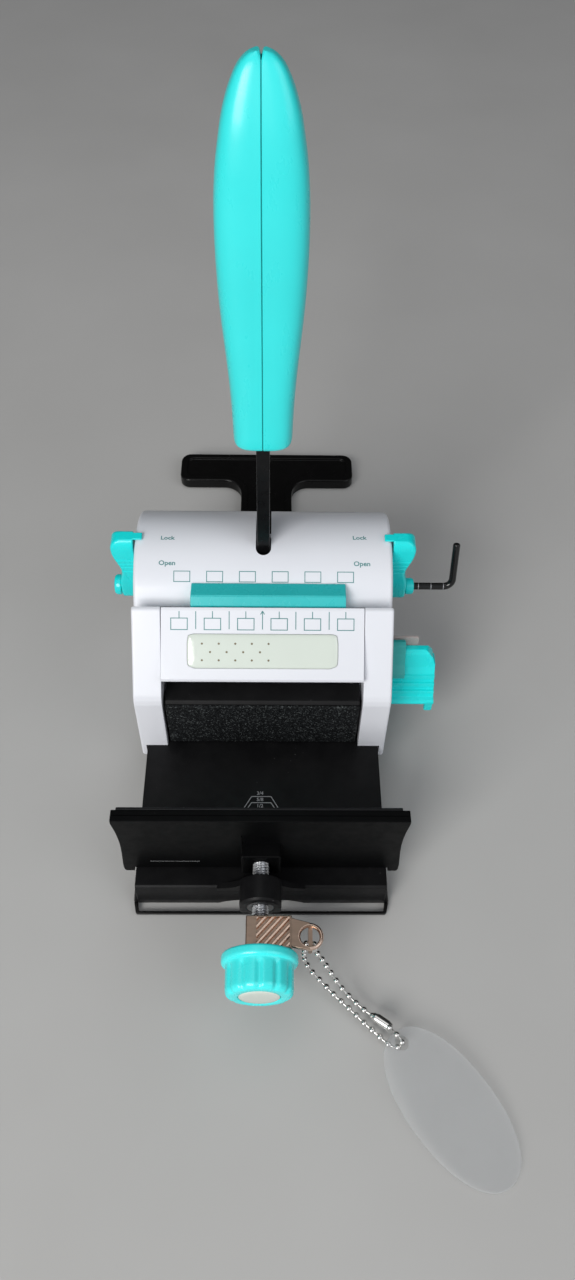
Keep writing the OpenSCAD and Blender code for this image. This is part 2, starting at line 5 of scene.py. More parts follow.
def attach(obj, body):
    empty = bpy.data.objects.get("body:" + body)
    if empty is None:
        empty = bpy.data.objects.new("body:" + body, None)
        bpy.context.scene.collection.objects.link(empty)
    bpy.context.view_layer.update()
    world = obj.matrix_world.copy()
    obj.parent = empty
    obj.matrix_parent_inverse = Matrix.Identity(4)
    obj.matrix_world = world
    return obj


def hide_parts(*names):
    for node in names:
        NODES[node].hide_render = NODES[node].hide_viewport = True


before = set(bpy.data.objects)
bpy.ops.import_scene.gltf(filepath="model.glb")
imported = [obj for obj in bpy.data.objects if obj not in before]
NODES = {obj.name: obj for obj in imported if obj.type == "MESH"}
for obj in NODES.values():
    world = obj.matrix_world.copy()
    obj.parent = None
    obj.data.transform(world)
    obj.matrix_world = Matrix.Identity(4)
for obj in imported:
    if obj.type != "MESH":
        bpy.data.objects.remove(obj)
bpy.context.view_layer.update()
MM = 0.001
AX_Y, AX_Z = 4.5, 49.3          # lever shaft
SCREW_Z = 30.2
scene = bpy.context.scene
scene.view_settings.view_transform = "Standard"
scene.view_settings.look = "None"

# ------------------------------------------------------------------ camera
def make_camera():
    f, pitch, yaw, roll = 951.69, math.radians(53.62), math.radians(1.39), math.radians(1.43)
    fw = Vector((math.sin(yaw) * math.cos(pitch), math.cos(yaw) * math.cos(pitch), -math.sin(pitch)))
    rt = Vector((math.cos(yaw), -math.sin(yaw), 0))
    up = rt.cross(fw)
    cx = rt * math.cos(roll) + up * math.sin(roll)
    cy = -rt * math.sin(roll) + up * math.cos(roll)
    m = Matrix((cx, cy, -fw)).transposed().to_4x4()
    m.translation = Vector((4.24, -251.15, 357.59)) * MM
    data = bpy.data.cameras.new("camera")
    data.sensor_width = 36
    data.lens = f / 1280 * 36
    data.clip_start, data.clip_end = 0.01, 20
    cam = bpy.data.objects.new("camera", data)
    cam.matrix_world = m
    scene.collection.objects.link(cam)
    scene.camera = cam

make_camera()

# ------------------------------------------------------------------ materials
def _mat(name):
    m = bpy.data.materials.new(name)
    m.use_nodes = True
    nt = m.node_tree
    return m, nt, nt.nodes["Principled BSDF"]


def _coords(nt):
    tc = nt.nodes.new("ShaderNodeTexCoord")
    return tc.outputs["Object"]


def _noise(nt, vec, scale, detail=3, rough=0.5, stretch=None):
    n = nt.nodes.new("ShaderNodeTexNoise")
    n.inputs["Scale"].default_value = scale
    n.inputs["Detail"].default_value = detail
    n.inputs["Roughness"].default_value = rough
    if stretch:
        mp = nt.nodes.new("ShaderNodeMapping")
        mp.inputs["Scale"].default_value = stretch
        nt.links.new(vec, mp.inputs["Vector"])
        vec = mp.outputs["Vector"]
    nt.links.new(vec, n.inputs["Vector"])
    return n.outputs["Fac"]


def _ramp(nt, fac, stops):
    r = nt.nodes.new("ShaderNodeValToRGB")
    els = r.color_ramp.elements
    while len(els) < len(stops):
        els.new(0.5)
    for e, (p, c) in zip(els, stops):
        e.position = p
        e.color = (*c, 1) if len(c) == 3 else c
    nt.links.new(fac, r.inputs["Fac"])
    return r.outputs["Color"]


def _range(nt, fac, a, b, lo=0.3, hi=0.7):
    r = nt.nodes.new("ShaderNodeMapRange")
    r.inputs["From Min"].default_value = lo
    r.inputs["From Max"].default_value = hi
    r.inputs["To Min"].default_value = a
    r.inputs["To Max"].default_value = b
    nt.links.new(fac, r.inputs["Value"])
    return r.outputs["Result"]


def _bump(nt, bsdf, fac, strength, dist, prev=None):
    b = nt.nodes.new("ShaderNodeBump")
    b.inputs["Strength"].default_value = strength
    b.inputs["Distance"].default_value = dist
    nt.links.new(fac, b.inputs["Height"])
    if prev is not None:
        nt.links.new(prev, b.inputs["Normal"])
    nt.links.new(b.outputs["Normal"], bsdf.inputs["Normal"])
    return b.outputs["Normal"]


def plastic(name, color, rough=0.32, coat=0.0, vary=0.05, grain=0.0, grain_scale=2600, sss=0.0, spec=0.5, rough_vary=0.05):
    m, nt, b = _mat(name)
    v = _coords(nt)
    c = Vector(color)
    cloud = _noise(nt, v, 28, 3)
    nt.links.new(_ramp(nt, cloud, [(0.3, tuple(c * (1 - vary))), (0.7, tuple(min(1, x) for x in c * (1 + vary)))]), b.inputs["Base Color"])
    smear = _noise(nt, v, 160, 4, 0.6, (1, 1, 0.35))
    nt.links.new(_range(nt, smear, rough - rough_vary, rough + rough_vary), b.inputs["Roughness"])
    wave = _noise(nt, v, 55, 2)
    prev = _bump(nt, b, wave, 0.25, 0.00012)
    if grain:
        _bump(nt, b, _noise(nt, v, grain_scale, 2), grain, 0.00004, prev)
    b.inputs["Specular IOR Level"].default_value = spec
    b.inputs["Coat Weight"].default_value = coat
    b.inputs["Coat Roughness"].default_value = 0.08
    if sss:
        b.inputs["Subsurface Weight"].default_value = sss
        b.inputs["Subsurface Radius"].default_value = (0.002, 0.002, 0.002)
        b.inputs["Subsurface Scale"].default_value = 0.5
    return m


def black(name, color=(0.0035, 0.0035, 0.004), rough=0.4, grain=0.5, grain_scale=1500, specks=0.0, coat=0.0, dust=0.004, spec=0.18):
    """Satin black with a fine pebbled grain, faint dust and small worn specks."""
    m, nt, b = _mat(name)
    v = _coords(nt)
    dusty = _noise(nt, v, 90, 5, 0.65)
    base = _ramp(nt, dusty, [(0.35, color), (0.85, tuple(x + dust for x in color))])
    if specks:
        vo = nt.nodes.new("ShaderNodeTexVoronoi")
        vo.inputs["Scale"].default_value = 420
        nt.links.new(v, vo.inputs["Vector"])
        pick = _ramp(nt, vo.outputs["Distance"], [(0.05, (1, 1, 1)), (0.10, (0, 0, 0))])
        thin = _noise(nt, v, 47, 3)
        gate = _ramp(nt, thin, [(0.60, (0, 0, 0)), (0.68, (1, 1, 1))])
        mul = nt.nodes.new("ShaderNodeMix"); mul.data_type = "RGBA"; mul.blend_type = "MULTIPLY"
        mul.inputs[0].default_value = 1
        nt.links.new(pick, mul.inputs[6]); nt.links.new(gate, mul.inputs[7])
        mix = nt.nodes.new("ShaderNodeMix"); mix.data_type = "RGBA"
        nt.links.new(mul.outputs[2], mix.inputs[0])
        nt.links.new(base, mix.inputs[6])
        mix.inputs[7].default_value = (specks, specks, specks * 0.98, 1)
        base = mix.outputs[2]
    nt.links.new(base, b.inputs["Base Color"])
    nt.links.new(_range(nt, _noise(nt, v, 240, 4, 0.6), rough - 0.07, rough + 0.07), b.inputs["Roughness"])
    prev = _bump(nt, b, _noise(nt, v, 60, 2), 0.2, 0.0001)
    if grain:
        _bump(nt, b, _noise(nt, v, grain_scale, 3, 0.6), grain, 0.00005, prev)
    b.inputs["Specular IOR Level"].default_value = spec
    b.inputs["Coat Weight"].default_value = coat
    b.inputs["Coat Roughness"].default_value = 0.12
    return m


def grit(name):
    """Coarse black grit; its brightest grains are painted glints set in the base colour."""
    m, nt, b = _mat(name)
    v = _coords(nt)
    vo = nt.nodes.new("ShaderNodeTexVoronoi")
    vo.inputs["Scale"].default_value = 2300
    nt.links.new(v, vo.inputs["Vector"])
    sep = nt.nodes.new("ShaderNodeSeparateColor")
    nt.links.new(vo.outputs["Color"], sep.inputs["Color"])
    # the top stops of this ramp paint glints into the base colour
    tone_and_glints = _ramp(nt, sep.outputs[0], [(0.0, (0.003, 0.0035, 0.004)), (0.66, (0.006, 0.007, 0.008)), (0.86, (0.02, 0.023, 0.025)), (0.99, (0.09, 0.10, 0.10))])
    nt.links.new(tone_and_glints, b.inputs["Base Color"])
    nt.links.new(_range(nt, sep.outputs[1], 0.35, 0.75, 0, 1), b.inputs["Roughness"])
    b.inputs["Specular IOR Level"].default_value = 0.25
    p = _bump(nt, b, vo.outputs["Distance"], 0.9, 0.0003)
    _bump(nt, b, _noise(nt, v, 900, 4, 0.7), 0.6, 0.0002, p)
    return m


def metal(name, color, rough=0.3, brushed=None, rough_vary=0.08, tarnish=0.12):
    m, nt, b = _mat(name)
    v = _coords(nt)
    c = Vector(color)
    stain = _noise(nt, v, 110, 4, 0.6)
    nt.links.new(_ramp(nt, stain, [(0.3, tuple(c * (1 - tarnish))), (0.7, tuple(c))]), b.inputs["Base Color"])
    line = _noise(nt, v, 900, 3, 0.6, brushed or (1, 1, 1))
    nt.links.new(_range(nt, line, rough - rough_vary, rough + rough_vary), b.inputs["Roughness"])
    _bump(nt, b, line, 0.18 if brushed else 0.06, 0.00003)
    b.inputs["Metallic"].default_value = 1
    return m


def clear(name, color=(0.93, 0.94, 0.95), rough=0.08, alpha=0.30, milk=0.0):
    """Clear acrylic, a little clouded and finely scratched."""
    m, nt, b = _mat(name)
    v = _coords(nt)
    cloud = _noise(nt, v, 45, 4, 0.6)
    c = Vector(color)
    nt.links.new(_ramp(nt, cloud, [(0.3, tuple(c * 0.94)), (0.7, tuple(c))]), b.inputs["Base Color"])
    nt.links.new(_range(nt, _noise(nt, v, 300, 4, 0.6, (1, 0.2, 1)), rough - 0.03, rough + 0.06), b.inputs["Roughness"])
    _bump(nt, b, _noise(nt, v, 260, 3, 0.5, (1, 0.15, 1)), 0.12, 0.00005)
    b.inputs["IOR"].default_value = 1.49
    b.inputs["Coat Weight"].default_value = 0.6
    b.inputs["Coat Roughness"].default_value = 0.06
    b.inputs["Alpha"].default_value = alpha
    return m


TEAL = plastic("teal_plastic", (0.036, 0.78, 0.775), rough=0.30, vary=0.03, sss=0.0, coat=0.1)
# a darker copy of the teal plastic for the tray catch: painted shade where the body's shadow falls
TEAL_CATCH_SHADED = plastic("dark_teal_plastic", (0.03, 0.42, 0.40), rough=0.34, vary=0.05, coat=0.15)
WHITE = plastic("white_plastic", (0.775, 0.79, 0.84), rough=0.32, vary=0.01, coat=0.1, rough_vary=0.02)
CREAM = plastic("cream_label", (0.69, 0.75, 0.68), rough=0.16, vary=0.015, coat=0.8)
BLACK_BED = black("black_bed", rough=0.42, grain=0.55, grain_scale=1700, specks=0.10, dust=0.006)
BLACK_PAINT = black("black_paint", color=(0.0016, 0.0017, 0.0019), rough=0.42, grain=0.35, grain_scale=2400, specks=0.04, dust=0.0015, spec=0.07)
BLACK_GLOSS = black("black_gloss", color=(0.003, 0.0028, 0.0028), rough=0.22, grain=0.12, grain_scale=900, coat=0.08, dust=0.002)
BLACK_PLASTIC = black("black_plastic", color=(0.006, 0.006, 0.007), rough=0.45, grain=0.9, grain_scale=1100, specks=0.2, dust=0.006)
PLATEN = black("black_platen", color=(0.006, 0.006, 0.0065), rough=0.5, grain=0.7, grain_scale=1300, specks=0.16, dust=0.006)
GRIT = grit("grit_pad")
RUBBER = black("rubber", color=(0.02, 0.02, 0.02), rough=0.75, grain=0.3, grain_scale=700, dust=0.03)
STEEL = metal("steel", (0.58, 0.58, 0.60), 0.32, (0.12, 1, 1))
ZINC = metal("zinc", (0.62, 0.63, 0.65), 0.30, None)
BRASS = metal("brass", (0.78, 0.60, 0.30), 0.30, (1, 0.15, 1))
NICKEL = metal("nickel", (0.78, 0.77, 0.75), 0.12, None, 0.04)
# a lighter copy of the rose metal for the raised ribs and the ring: painted highlight
ROSE_HIGHLIT = metal("rose_metal_painted_highlight", (0.80, 0.60, 0.49), 0.27, (0.2, 1, 1), 0.06)
ROSE = metal("rose_metal", (0.40, 0.29, 0.225), 0.36, (0.2, 1, 1), 0.06)
CLEAR = clear("clear_acrylic", (0.66, 0.68, 0.70), 0.12, 0.17)
# the flap's pink-brown tint is painted reflection of a pink wall plus painted shade on a pale clear plate
CLEAR_FLAP_PAINTED_REFLECTION = clear("clear_flap_painted_reflection", (0.62, 0.52, 0.50), 0.25, 0.58)
# a lighter copy of the teal plastic: painted light on the knob's brightly lit faces
TEAL_KNOB_LIT = plastic("teal_knob_painted_light", (0.06, 0.88, 0.875), rough=0.26, vary=0.03, coat=0.12)
# a darker copy of the teal plastic for the slot bar: painted shade
TEAL_BAR_SHADED = plastic("teal_bar_painted_shade", (0.028, 0.52, 0.53), rough=0.28, vary=0.04, coat=0.2)
TEAL_LOCK = plastic("teal_levers", (0.006, 0.76, 0.76), rough=0.26, vary=0.03, coat=0.12)
# a darker copy of the teal plastic for the seam tongue: painted shade in the gap between the grip halves
TEAL_SEAM_SHADE = plastic("teal_seam_painted_shade", (0.012, 0.36, 0.36), rough=0.5, vary=0.05)
BLACK_LEVER = black("black_lever", rough=0.3, grain=0.3, grain_scale=1800, specks=0.2, coat=0.05, dust=0.004)
BLACK_ROD = black("black_rod", color=(0.005, 0.005, 0.005), rough=0.16, grain=0.0, coat=0.6, dust=0.004)
DARK_STEEL = metal("dark_steel", (0.16, 0.16, 0.165), 0.35, (1, 0.15, 1))
INK = plastic("printed_ink", (0.055, 0.235, 0.235), rough=0.5, vary=0.12)
INK_DOT = plastic("printed_dots", (0.16, 0.13, 0.07), rough=0.4, vary=0.15)
INK_WHITE = plastic("printed_lines", (0.55, 0.56, 0.57), rough=0.5, vary=0.15)

# ------------------------------------------------------------------ mesh helpers
def add(name, verts, faces, scale=MM):
    me = bpy.data.meshes.new(name)
    me.from_pydata([(v[0] * scale, v[1] * scale, v[2] * scale) for v in verts], [], faces)
    me.validate()
    ob = bpy.data.objects.new(name, me)
    scene.collection.objects.link(ob)
    fix_normals(ob)
    return ob


def fix_normals(ob):
    bm = bmesh.new(); bm.from_mesh(ob.data)
    bmesh.ops.recalc_face_normals(bm, faces=bm.faces)
    bm.to_mesh(ob.data); bm.free()


def bake(ob):
    """Turns the modifiers into the mesh."""
    bpy.context.view_layer.update()
    dg = bpy.context.evaluated_depsgraph_get()
    me = bpy.data.meshes.new_from_object(ob.evaluated_get(dg))
    ob.modifiers.clear()
    old = ob.data
    ob.data = me
    bpy.data.meshes.remove(old)
    me.name = ob.name
    return ob


def boolean(ob, other, op="DIFFERENCE", keep=False):
    m = ob.modifiers.new("b", "BOOLEAN")
    m.operation, m.object, m.solver = op, other, "EXACT"
    bake(ob)
    if not keep:
        bpy.data.objects.remove(other)
    return ob


def tidy(ob, planar=0.6, merge=0.002):
    bm = bmesh.new(); bm.from_mesh(ob.data)
    bmesh.ops.remove_doubles(bm, verts=bm.verts, dist=merge * MM)
    bmesh.ops.dissolve_limit(bm, angle_limit=math.radians(planar), verts=bm.verts, edges=bm.edges)
    bm.to_mesh(ob.data); bm.free()
    return ob


def bevel(ob, w, seg=3, sel=None, ang=28, loop=True):
    """Rounds the edges sharper than ang; sel picks them by their mid-point in mm."""
    bm = bmesh.new(); bm.from_mesh(ob.data)
    bm.edges.ensure_lookup_table()
    pick = []
    for e in bm.edges:
        if len(e.link_faces) == 2 and e.calc_face_angle(0) > math.radians(ang):
            c = (e.verts[0].co + e.verts[1].co) / 2 / MM
            if sel is None or sel(c, e):
                pick.append(e)
    if pick:
        bmesh.ops.bevel(bm, geom=pick, offset=w * MM, offset_type="OFFSET", segments=seg, profile=0.5, affect="EDGES",
                        clamp_overlap=True, loop_slide=True, miter_outer="ARC", spread=0.1 * MM)
    bm.to_mesh(ob.data); bm.free()
    return ob


def smooth(ob, ang=38, weighted=True):
    me = ob.data
    for p in me.polygons:
        p.use_smooth = True
    me.set_sharp_from_angle(angle=math.radians(ang))
    if weighted:
        w = ob.modifiers.new("wn", "WEIGHTED_NORMAL")
        w.keep_sharp = True
    return ob


def arc(cy, cz, r, a0, a1, n):
    """Points at angle a from +second axis towards +first axis, in degrees."""
    return [(cy + r * math.sin(math.radians(a0 + (a1 - a0) * k / n)), cz + r * math.cos(math.radians(a0 + (a1 - a0) * k / n))) for k in range(n + 1)]


def rounded(pts, r=0.5, n=5):
    """A closed outline with its corners rounded; a third number in a point is its own radius."""
    out, N = [], len(pts)
    for i, p in enumerate(pts):
        ri = p[2] if len(p) > 2 else r
        P, Q, R = Vector(p[:2]), Vector(pts[i - 1][:2]), Vector(pts[(i + 1) % N][:2])
        u, v = (Q - P).normalized(), (R - P).normalized()
        ang = u.angle(v)
        if ri <= 0 or ang > math.radians(176):
            out.append((P.x, P.y)); continue
        t = min(ri / math.tan(ang / 2), (Q - P).length * 0.48, (R - P).length * 0.48)
        rr = t * math.tan(ang / 2)
        c = P + (u + v).normalized() * (rr / math.sin(ang / 2))
        s, e = P + u * t - c, P + v * t - c
        a0, a1 = math.atan2(s.y, s.x), math.atan2(e.y, e.x)
        d = (a1 - a0 + math.pi) % (2 * math.pi) - math.pi
        out += [(c.x + rr * math.cos(a0 + d * k / n), c.y + rr * math.sin(a0 + d * k / n)) for k in range(n + 1)]
    return out


def place(axis, a, b, h):
    return {"x": (h, a, b), "y": (a, h, b), "z": (a, b, h)}[axis]


def prism(name, pts, axis, lo, hi):
    """A closed outline, in the two other axes in X, Y, Z order, carried from lo to hi."""
    n = len(pts)
    v = [place(axis, a, b, lo) for a, b in pts] + [place(axis, a, b, hi) for a, b in pts]
    f = [list(range(n)), list(range(2 * n - 1, n - 1, -1))]
    f += [[i, (i + 1) % n, n + (i + 1) % n, n + i] for i in range(n)]
    return add(name, v, f)


def inset(pts, d):
    """A closed outline moved inwards by d, with mitred corners."""
    n = len(pts)
    area = sum(pts[i - 1][0] * pts[i][1] - pts[i][0] * pts[i - 1][1] for i in range(n))
    s = 1 if area > 0 else -1
    out = []
    for i, q in enumerate(pts):
        Q = Vector(q)
        a, b = (Q - Vector(pts[i - 1])).normalized(), (Vector(pts[(i + 1) % n]) - Q).normalized()
        n1, n2 = Vector((-a.y, a.x)) * s, Vector((-b.y, b.x)) * s
        out.append(tuple(Q + (n1 + n2) / max(0.3, 1 + n1.dot(n2)) * d))
    return out


def rprism(name, pts, axis, lo, hi, w_lo, w_hi, seg=4):
    """A prism with the edges of its two ends rounded; its corners are rounder than the ends."""
    rings = []
    for k in range(seg + 1):
        t = math.radians(90 * k / seg)
        rings.append([place(axis, a, b, lo + w_lo * (1 - math.cos(t))) for a, b in inset(pts, w_lo * (1 - math.sin(t)))])
    for k in range(seg, -1, -1):
        t = math.radians(90 * k / seg)
        rings.append([place(axis, a, b, hi - w_hi * (1 - math.cos(t))) for a, b in inset(pts, w_hi * (1 - math.sin(t)))])
    return loft(name, rings, True)


def block(name, x0, x1, y0, y1, z0, z1):
    return prism(name, [(x0, y0), (x1, y0), (x1, y1), (x0, y1)], "z", z0, z1)


def lathe(name, prof, axis, centre, n=64, closed=True):
    """prof is (distance along the axis, radius); the ends at radius 0 close it."""
    v, f, rings = [], [], []
    for h, r in prof:
        if r < 1e-6:
            rings.append([len(v)]); v.append((h, 0, 0))
        else:
            rings.append(list(range(len(v), len(v) + n)))
            v += [(h, r * math.cos(2 * math.pi * k / n), r * math.sin(2 * math.pi * k / n)) for k in range(n)]
    for A, B in zip(rings, rings[1:]):
        for k in range(n):
            k2 = (k + 1) % n
            if len(A) == 1 and len(B) == 1:
                continue
            if len(A) == 1:
                f.append([A[0], B[k], B[k2]])
            elif len(B) == 1:
                f.append([A[k], B[0], A[k2]])
            else:
                f.append([A[k], B[k], B[k2], A[k2]])
    if closed and len(rings[0]) > 1 and len(rings[-1]) > 1:
        A, B = rings[-1], rings[0]
        for k in range(n):
            k2 = (k + 1) % n
            f.append([A[k], B[k], B[k2], A[k2]])
    cx, cy, cz = centre
    put = {"x": lambda h, a, b: (cx + h, cy + a, cz + b), "y": lambda h, a, b: (cx + a, cy + h, cz + b), "z": lambda h, a, b: (cx + a, cy + b, cz + h)}[axis]
    return add(name, [put(*p) for p in v], f)


def cyl(name, axis, centre, r, lo, hi, n=48):
    return lathe(name, [(lo, 0), (lo, r), (hi, r), (hi, 0)], axis, centre, n, False)


def loft(name, rings, cap=True):
    n = len(rings[0])
    v = [p for ring in rings for p in ring]
    f = [[i * n + k, i * n + (k + 1) % n, (i + 1) * n + (k + 1) % n, (i + 1) * n + k] for i in range(len(rings) - 1) for k in range(n)]
    if cap:
        f += [list(range(n - 1, -1, -1)), [(len(rings) - 1) * n + k for k in range(n)]]
    return add(name, v, f)


def tube(name, pts, r, n=12, close=False):
    pts = [Vector(p) for p in pts]
    rings, prev = [], None
    for i, p in enumerate(pts):
        t = (pts[min(i + 1, len(pts) - 1)] - pts[max(i - 1, 0)]).normalized()
        if prev is None:
            u = t.orthogonal().normalized()
        else:
            u = (prev - t * prev.dot(t)).normalized()
        prev = u
        w = t.cross(u)
        rr = r[i] if isinstance(r, (list, tuple)) else r
        rings.append([tuple(p + (u * math.cos(2 * math.pi * k / n) + w * math.sin(2 * math.pi * k / n)) * rr) for k in range(n)])
    return loft(name, rings, True)


def join(name, obs):
    bm = bmesh.new()
    for o in obs:
        me = o.data
        me.transform(o.matrix_world)
        bm.from_mesh(me)
    me = bpy.data.meshes.new(name)
    bm.to_mesh(me); bm.free()
    ob = bpy.data.objects.new(name, me)
    scene.collection.objects.link(ob)
    for o in obs:
        bpy.data.objects.remove(o)
    return ob


def mirror_x(ob, name):
    me = ob.data.copy()
    me.transform(Matrix.Scale(-1, 4, (1, 0, 0)))
    me.flip_normals()
    o = bpy.data.objects.new(name, me)
    scene.collection.objects.link(o)
    return o


def piece(ob, body, material, slot_name, *nodes):
    ob.data.materials.clear()
    ob.data.materials.append(material)
    if nodes:
        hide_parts(*nodes)
    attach(ob, body)
    return ob


def lean(ob):
    """The lever's own frame, s up the bar, to the rest pose."""
    m = Matrix.Translation(Vector((0, AX_Y, AX_Z)) * MM) @ Matrix.Rotation(math.radians(-8), 4, "X")
    ob.data.transform(m)
    return ob


def copy_of(node, name, w=0.3, seg=2, ang=30, planar=0.5):
    """A rounded copy of a CAD node's mesh."""
    me = NODES[node].data.copy()
    me.materials.clear()
    me.normals_split_custom_set([(0, 0, 0)] * len(me.loops)) if me.has_custom_normals else None
    ob = bpy.data.objects.new(name, me)
    scene.collection.objects.link(ob)
    tidy(ob, planar, 0.001)
    bevel(ob, w, seg, None, ang)
    smooth(ob, 40)
    return ob

# ------------------------------------------------------------------ chain (first, its route is the CAD's)
CHAIN = [(17.9, -140.1, 29.6), (19, -140.2, 27.8), (19.2, -140.4, 25.4), (19.4, -140.6, 23), (21.1, -141.6, 20), (22.8, -142.8, 17), (24.4, -144.2, 14.2),
         (26.2, -146, 11.8), (28.2, -148.1, 9.6), (30.4, -150.2, 7.9), (32.8, -152.3, 6.6), (35.4, -154.5, 5.8), (38.1, -156.6, 5.6), (41, -158.6, 5.8),
         (43.8, -160.6, 6.3), (46, -162.6, 7.2), (47.7, -164.6, 7.8), (49.3, -166.2, 7.2), (50, -167.1, 5.6), (49.6, -167.8, 3.7), (48, -168, 2.9), (46.2, -167.4, 2.9),
         (43.8, -165.6, 3), (40.9, -163.1, 3.2), (38.2, -160.8, 3.4), (35.6, -158.4, 3.6), (33, -155.9, 3.8), (30.3, -153.6, 4.1),
         (27.6, -151.3, 4.6), (25, -148.9, 5.2), (22.4, -146.5, 6.2), (19.8, -144.4, 7.7), (17.6, -142.4, 9.8), (16.1, -140.8, 12.8),
         (15.6, -140, 17), (15.6, -139.8, 21), (15.7, -139.8, 25), (16.1, -139.9, 28), (17, -140.1, 29.6)]


def catmull(pts, k=8):
    P = [Vector(p) for p in pts]
    P = [P[0] * 2 - P[1]] + P + [P[-1] * 2 - P[-2]]
    out = []
    for i in range(1, len(P) - 2):
        for j in range(k):
            t = j / k
            a, b, c, d = P[i - 1], P[i], P[i + 1], P[i + 2]
            out.append(0.5 * ((2 * b) + (c - a) * t + (2 * a - 5 * b + 4 * c - d) * t * t + (3 * b - a - 3 * c + d) * t ** 3))
    out.append(P[-2].copy())
    return out


def walk(line, step, start=0.0):
    """Points and directions every step along a line."""
    out, need, acc = [], start, 0.0
    for a, b in zip(line, line[1:]):
        L = (b - a).length
        while need <= acc + L + 1e-9:
            t = (need - acc) / L if L else 0
            out.append((a.lerp(b, t), (b - a).normalized()))
            need += step
        acc += L
    return out, acc


def make_chain():
    line = catmull(CHAIN)
    _, total = walk(line, 1000)
    count = round(total / 3.6)
    pitch = total / count
    beads, _ = walk(line, pitch, pitch / 2)
    skip_at = Vector((43.4, -160.2, 6.1))
    bm = bmesh.new()
    for p, d in beads:
        if (p - skip_at).length < 3.0:
            r = 1.0
        else:
            r = 1.2
        rot = d.to_track_quat("Z", "Y").to_matrix().to_4x4()
        m = Matrix.Translation(p * MM) @ rot @ Matrix.Scale(MM, 4)
        bmesh.ops.create_uvsphere(bm, u_segments=16, v_segments=10, radius=r, matrix=m)
    wire = walk(line, 1.2)[0]
    pts = [p for p, _ in wire]
    t = tube("tmp_wire", pts, 0.36, 8)
    bm.from_mesh(t.data)
    bpy.data.objects.remove(t)
    me = bpy.data.meshes.new("ball_chain_beads")
    bm.to_mesh(me); bm.free()
    ob = bpy.data.objects.new("ball_chain_beads", me)
    scene.collection.objects.link(ob)
    smooth(ob, 60, False)
    piece(ob, "fence", NICKEL, "nickel", "ball_chain")
    return ob, [tuple(p * MM) for p, _ in walk(line, 1.5)[0]], total


def make_connector():
    # an open-sided sleeve: a rolled tube with one window, gripping a bead at each end
    m = Matrix.Translation(Vector((43.4, -160.2, 6.1)) * MM) @ Matrix.Rotation(math.radians(-35), 4, "Z") @ Matrix.Rotation(math.radians(85), 4, "Y")
    n, rows = 28, []
    prof = [(-3.9, 1.0), (-3.8, 1.35), (-3.4, 1.58), (-2.6, 1.7), (2.6, 1.7), (3.4, 1.58), (3.8, 1.35), (3.9, 1.0)]
    body = lathe("tmp_c", prof + [(3.7, 0.85), (3.4, 1.2), (2.6, 1.42), (-2.6, 1.42), (-3.4, 1.2), (-3.7, 0.85)], "z", (0, 0, 0), n, True)
    win = block("tmp_w", -0.62, 0.62, -3, 0, -2.4, 2.4)
    bevel(win, 0.5, 3, lambda c, e: abs(abs(c.x) - 0.62) < 0.01 and abs(abs(c.z) - 2.4) < 0.01, 30)
    boolean(body, win)
    body.data.transform(Matrix.Rotation(math.radians(-145), 4, "Z"))
    body.data.transform(m)
    smooth(body, 40)
    body.name = "connector_sleeve"
    return piece(body, "fence", NICKEL, "nickel", "chain_connector")


chain, chain_line, chain_len = make_chain()
connector = make_connector()

# ------------------------------------------------------------------ stage
def make_stage():
    me = bpy.data.meshes.new("floor")
    me.from_pydata([(-4, -3, 0), (4, -3, 0), (4, 5, 0), (-4, 5, 0)], [], [[0, 1, 2, 3]])
    ob = bpy.data.objects.new("floor", me)
    scene.collection.objects.link(ob)
    m, nt, b = _mat("floor")
    v = _coords(nt)
    nt.links.new(_ramp(nt, _noise(nt, v, 9, 4), [(0.3, (0.475, 0.47, 0.46)), (0.7, (0.505, 0.50, 0.49))]), b.inputs["Base Color"])
    b.inputs["Roughness"].default_value = 0.55
    ob.data.materials.append(m)
    w = bpy.data.worlds.new("studio")
    scene.world = w
    w.use_nodes = True
    # soft light that comes more from the front than from behind
    wt = w.node_tree
    bg = wt.nodes["Background"]
    bg.inputs["Color"].default_value = (0.94, 0.96, 1.0, 1)
    sep = wt.nodes.new("ShaderNodeSeparateXYZ")
    wt.links.new(wt.nodes.new("ShaderNodeTexCoord").outputs["Generated"], sep.inputs["Vector"])
    wt.links.new(_range(wt, sep.outputs["Y"], 0.50, 0.05, -0.6, 0.35), bg.inputs["Strength"])

    def light(name, loc, look, size, energy, color=(1, 1, 1)):
        d = bpy.data.lights.new(name, "AREA")
        d.shape, d.size, d.size_y, d.energy, d.color = "RECTANGLE", size[0], size[1], energy, color
        o = bpy.data.objects.new(name, d)
        o.location = loc
        o.rotation_euler = (Vector(look) - Vector(loc)).to_track_quat("-Z", "Y").to_euler()
        scene.collection.objects.link(o)
    light("key", (-0.6, -1.05, 0.85), (0, -0.03, 0.05), (0.7, 0.7), 14, (1, 0.99, 0.97))
    light("fill", (0.9, -0.6, 0.9), (0, 0, 0.05), (0.9, 0.9), 3.2, (0.95, 0.97, 1))
    light("top", (-0.2, 0.2, 1.3), (0, 0, 0.05), (1.0, 0.6), 1.5, (1, 1, 1))

make_stage()

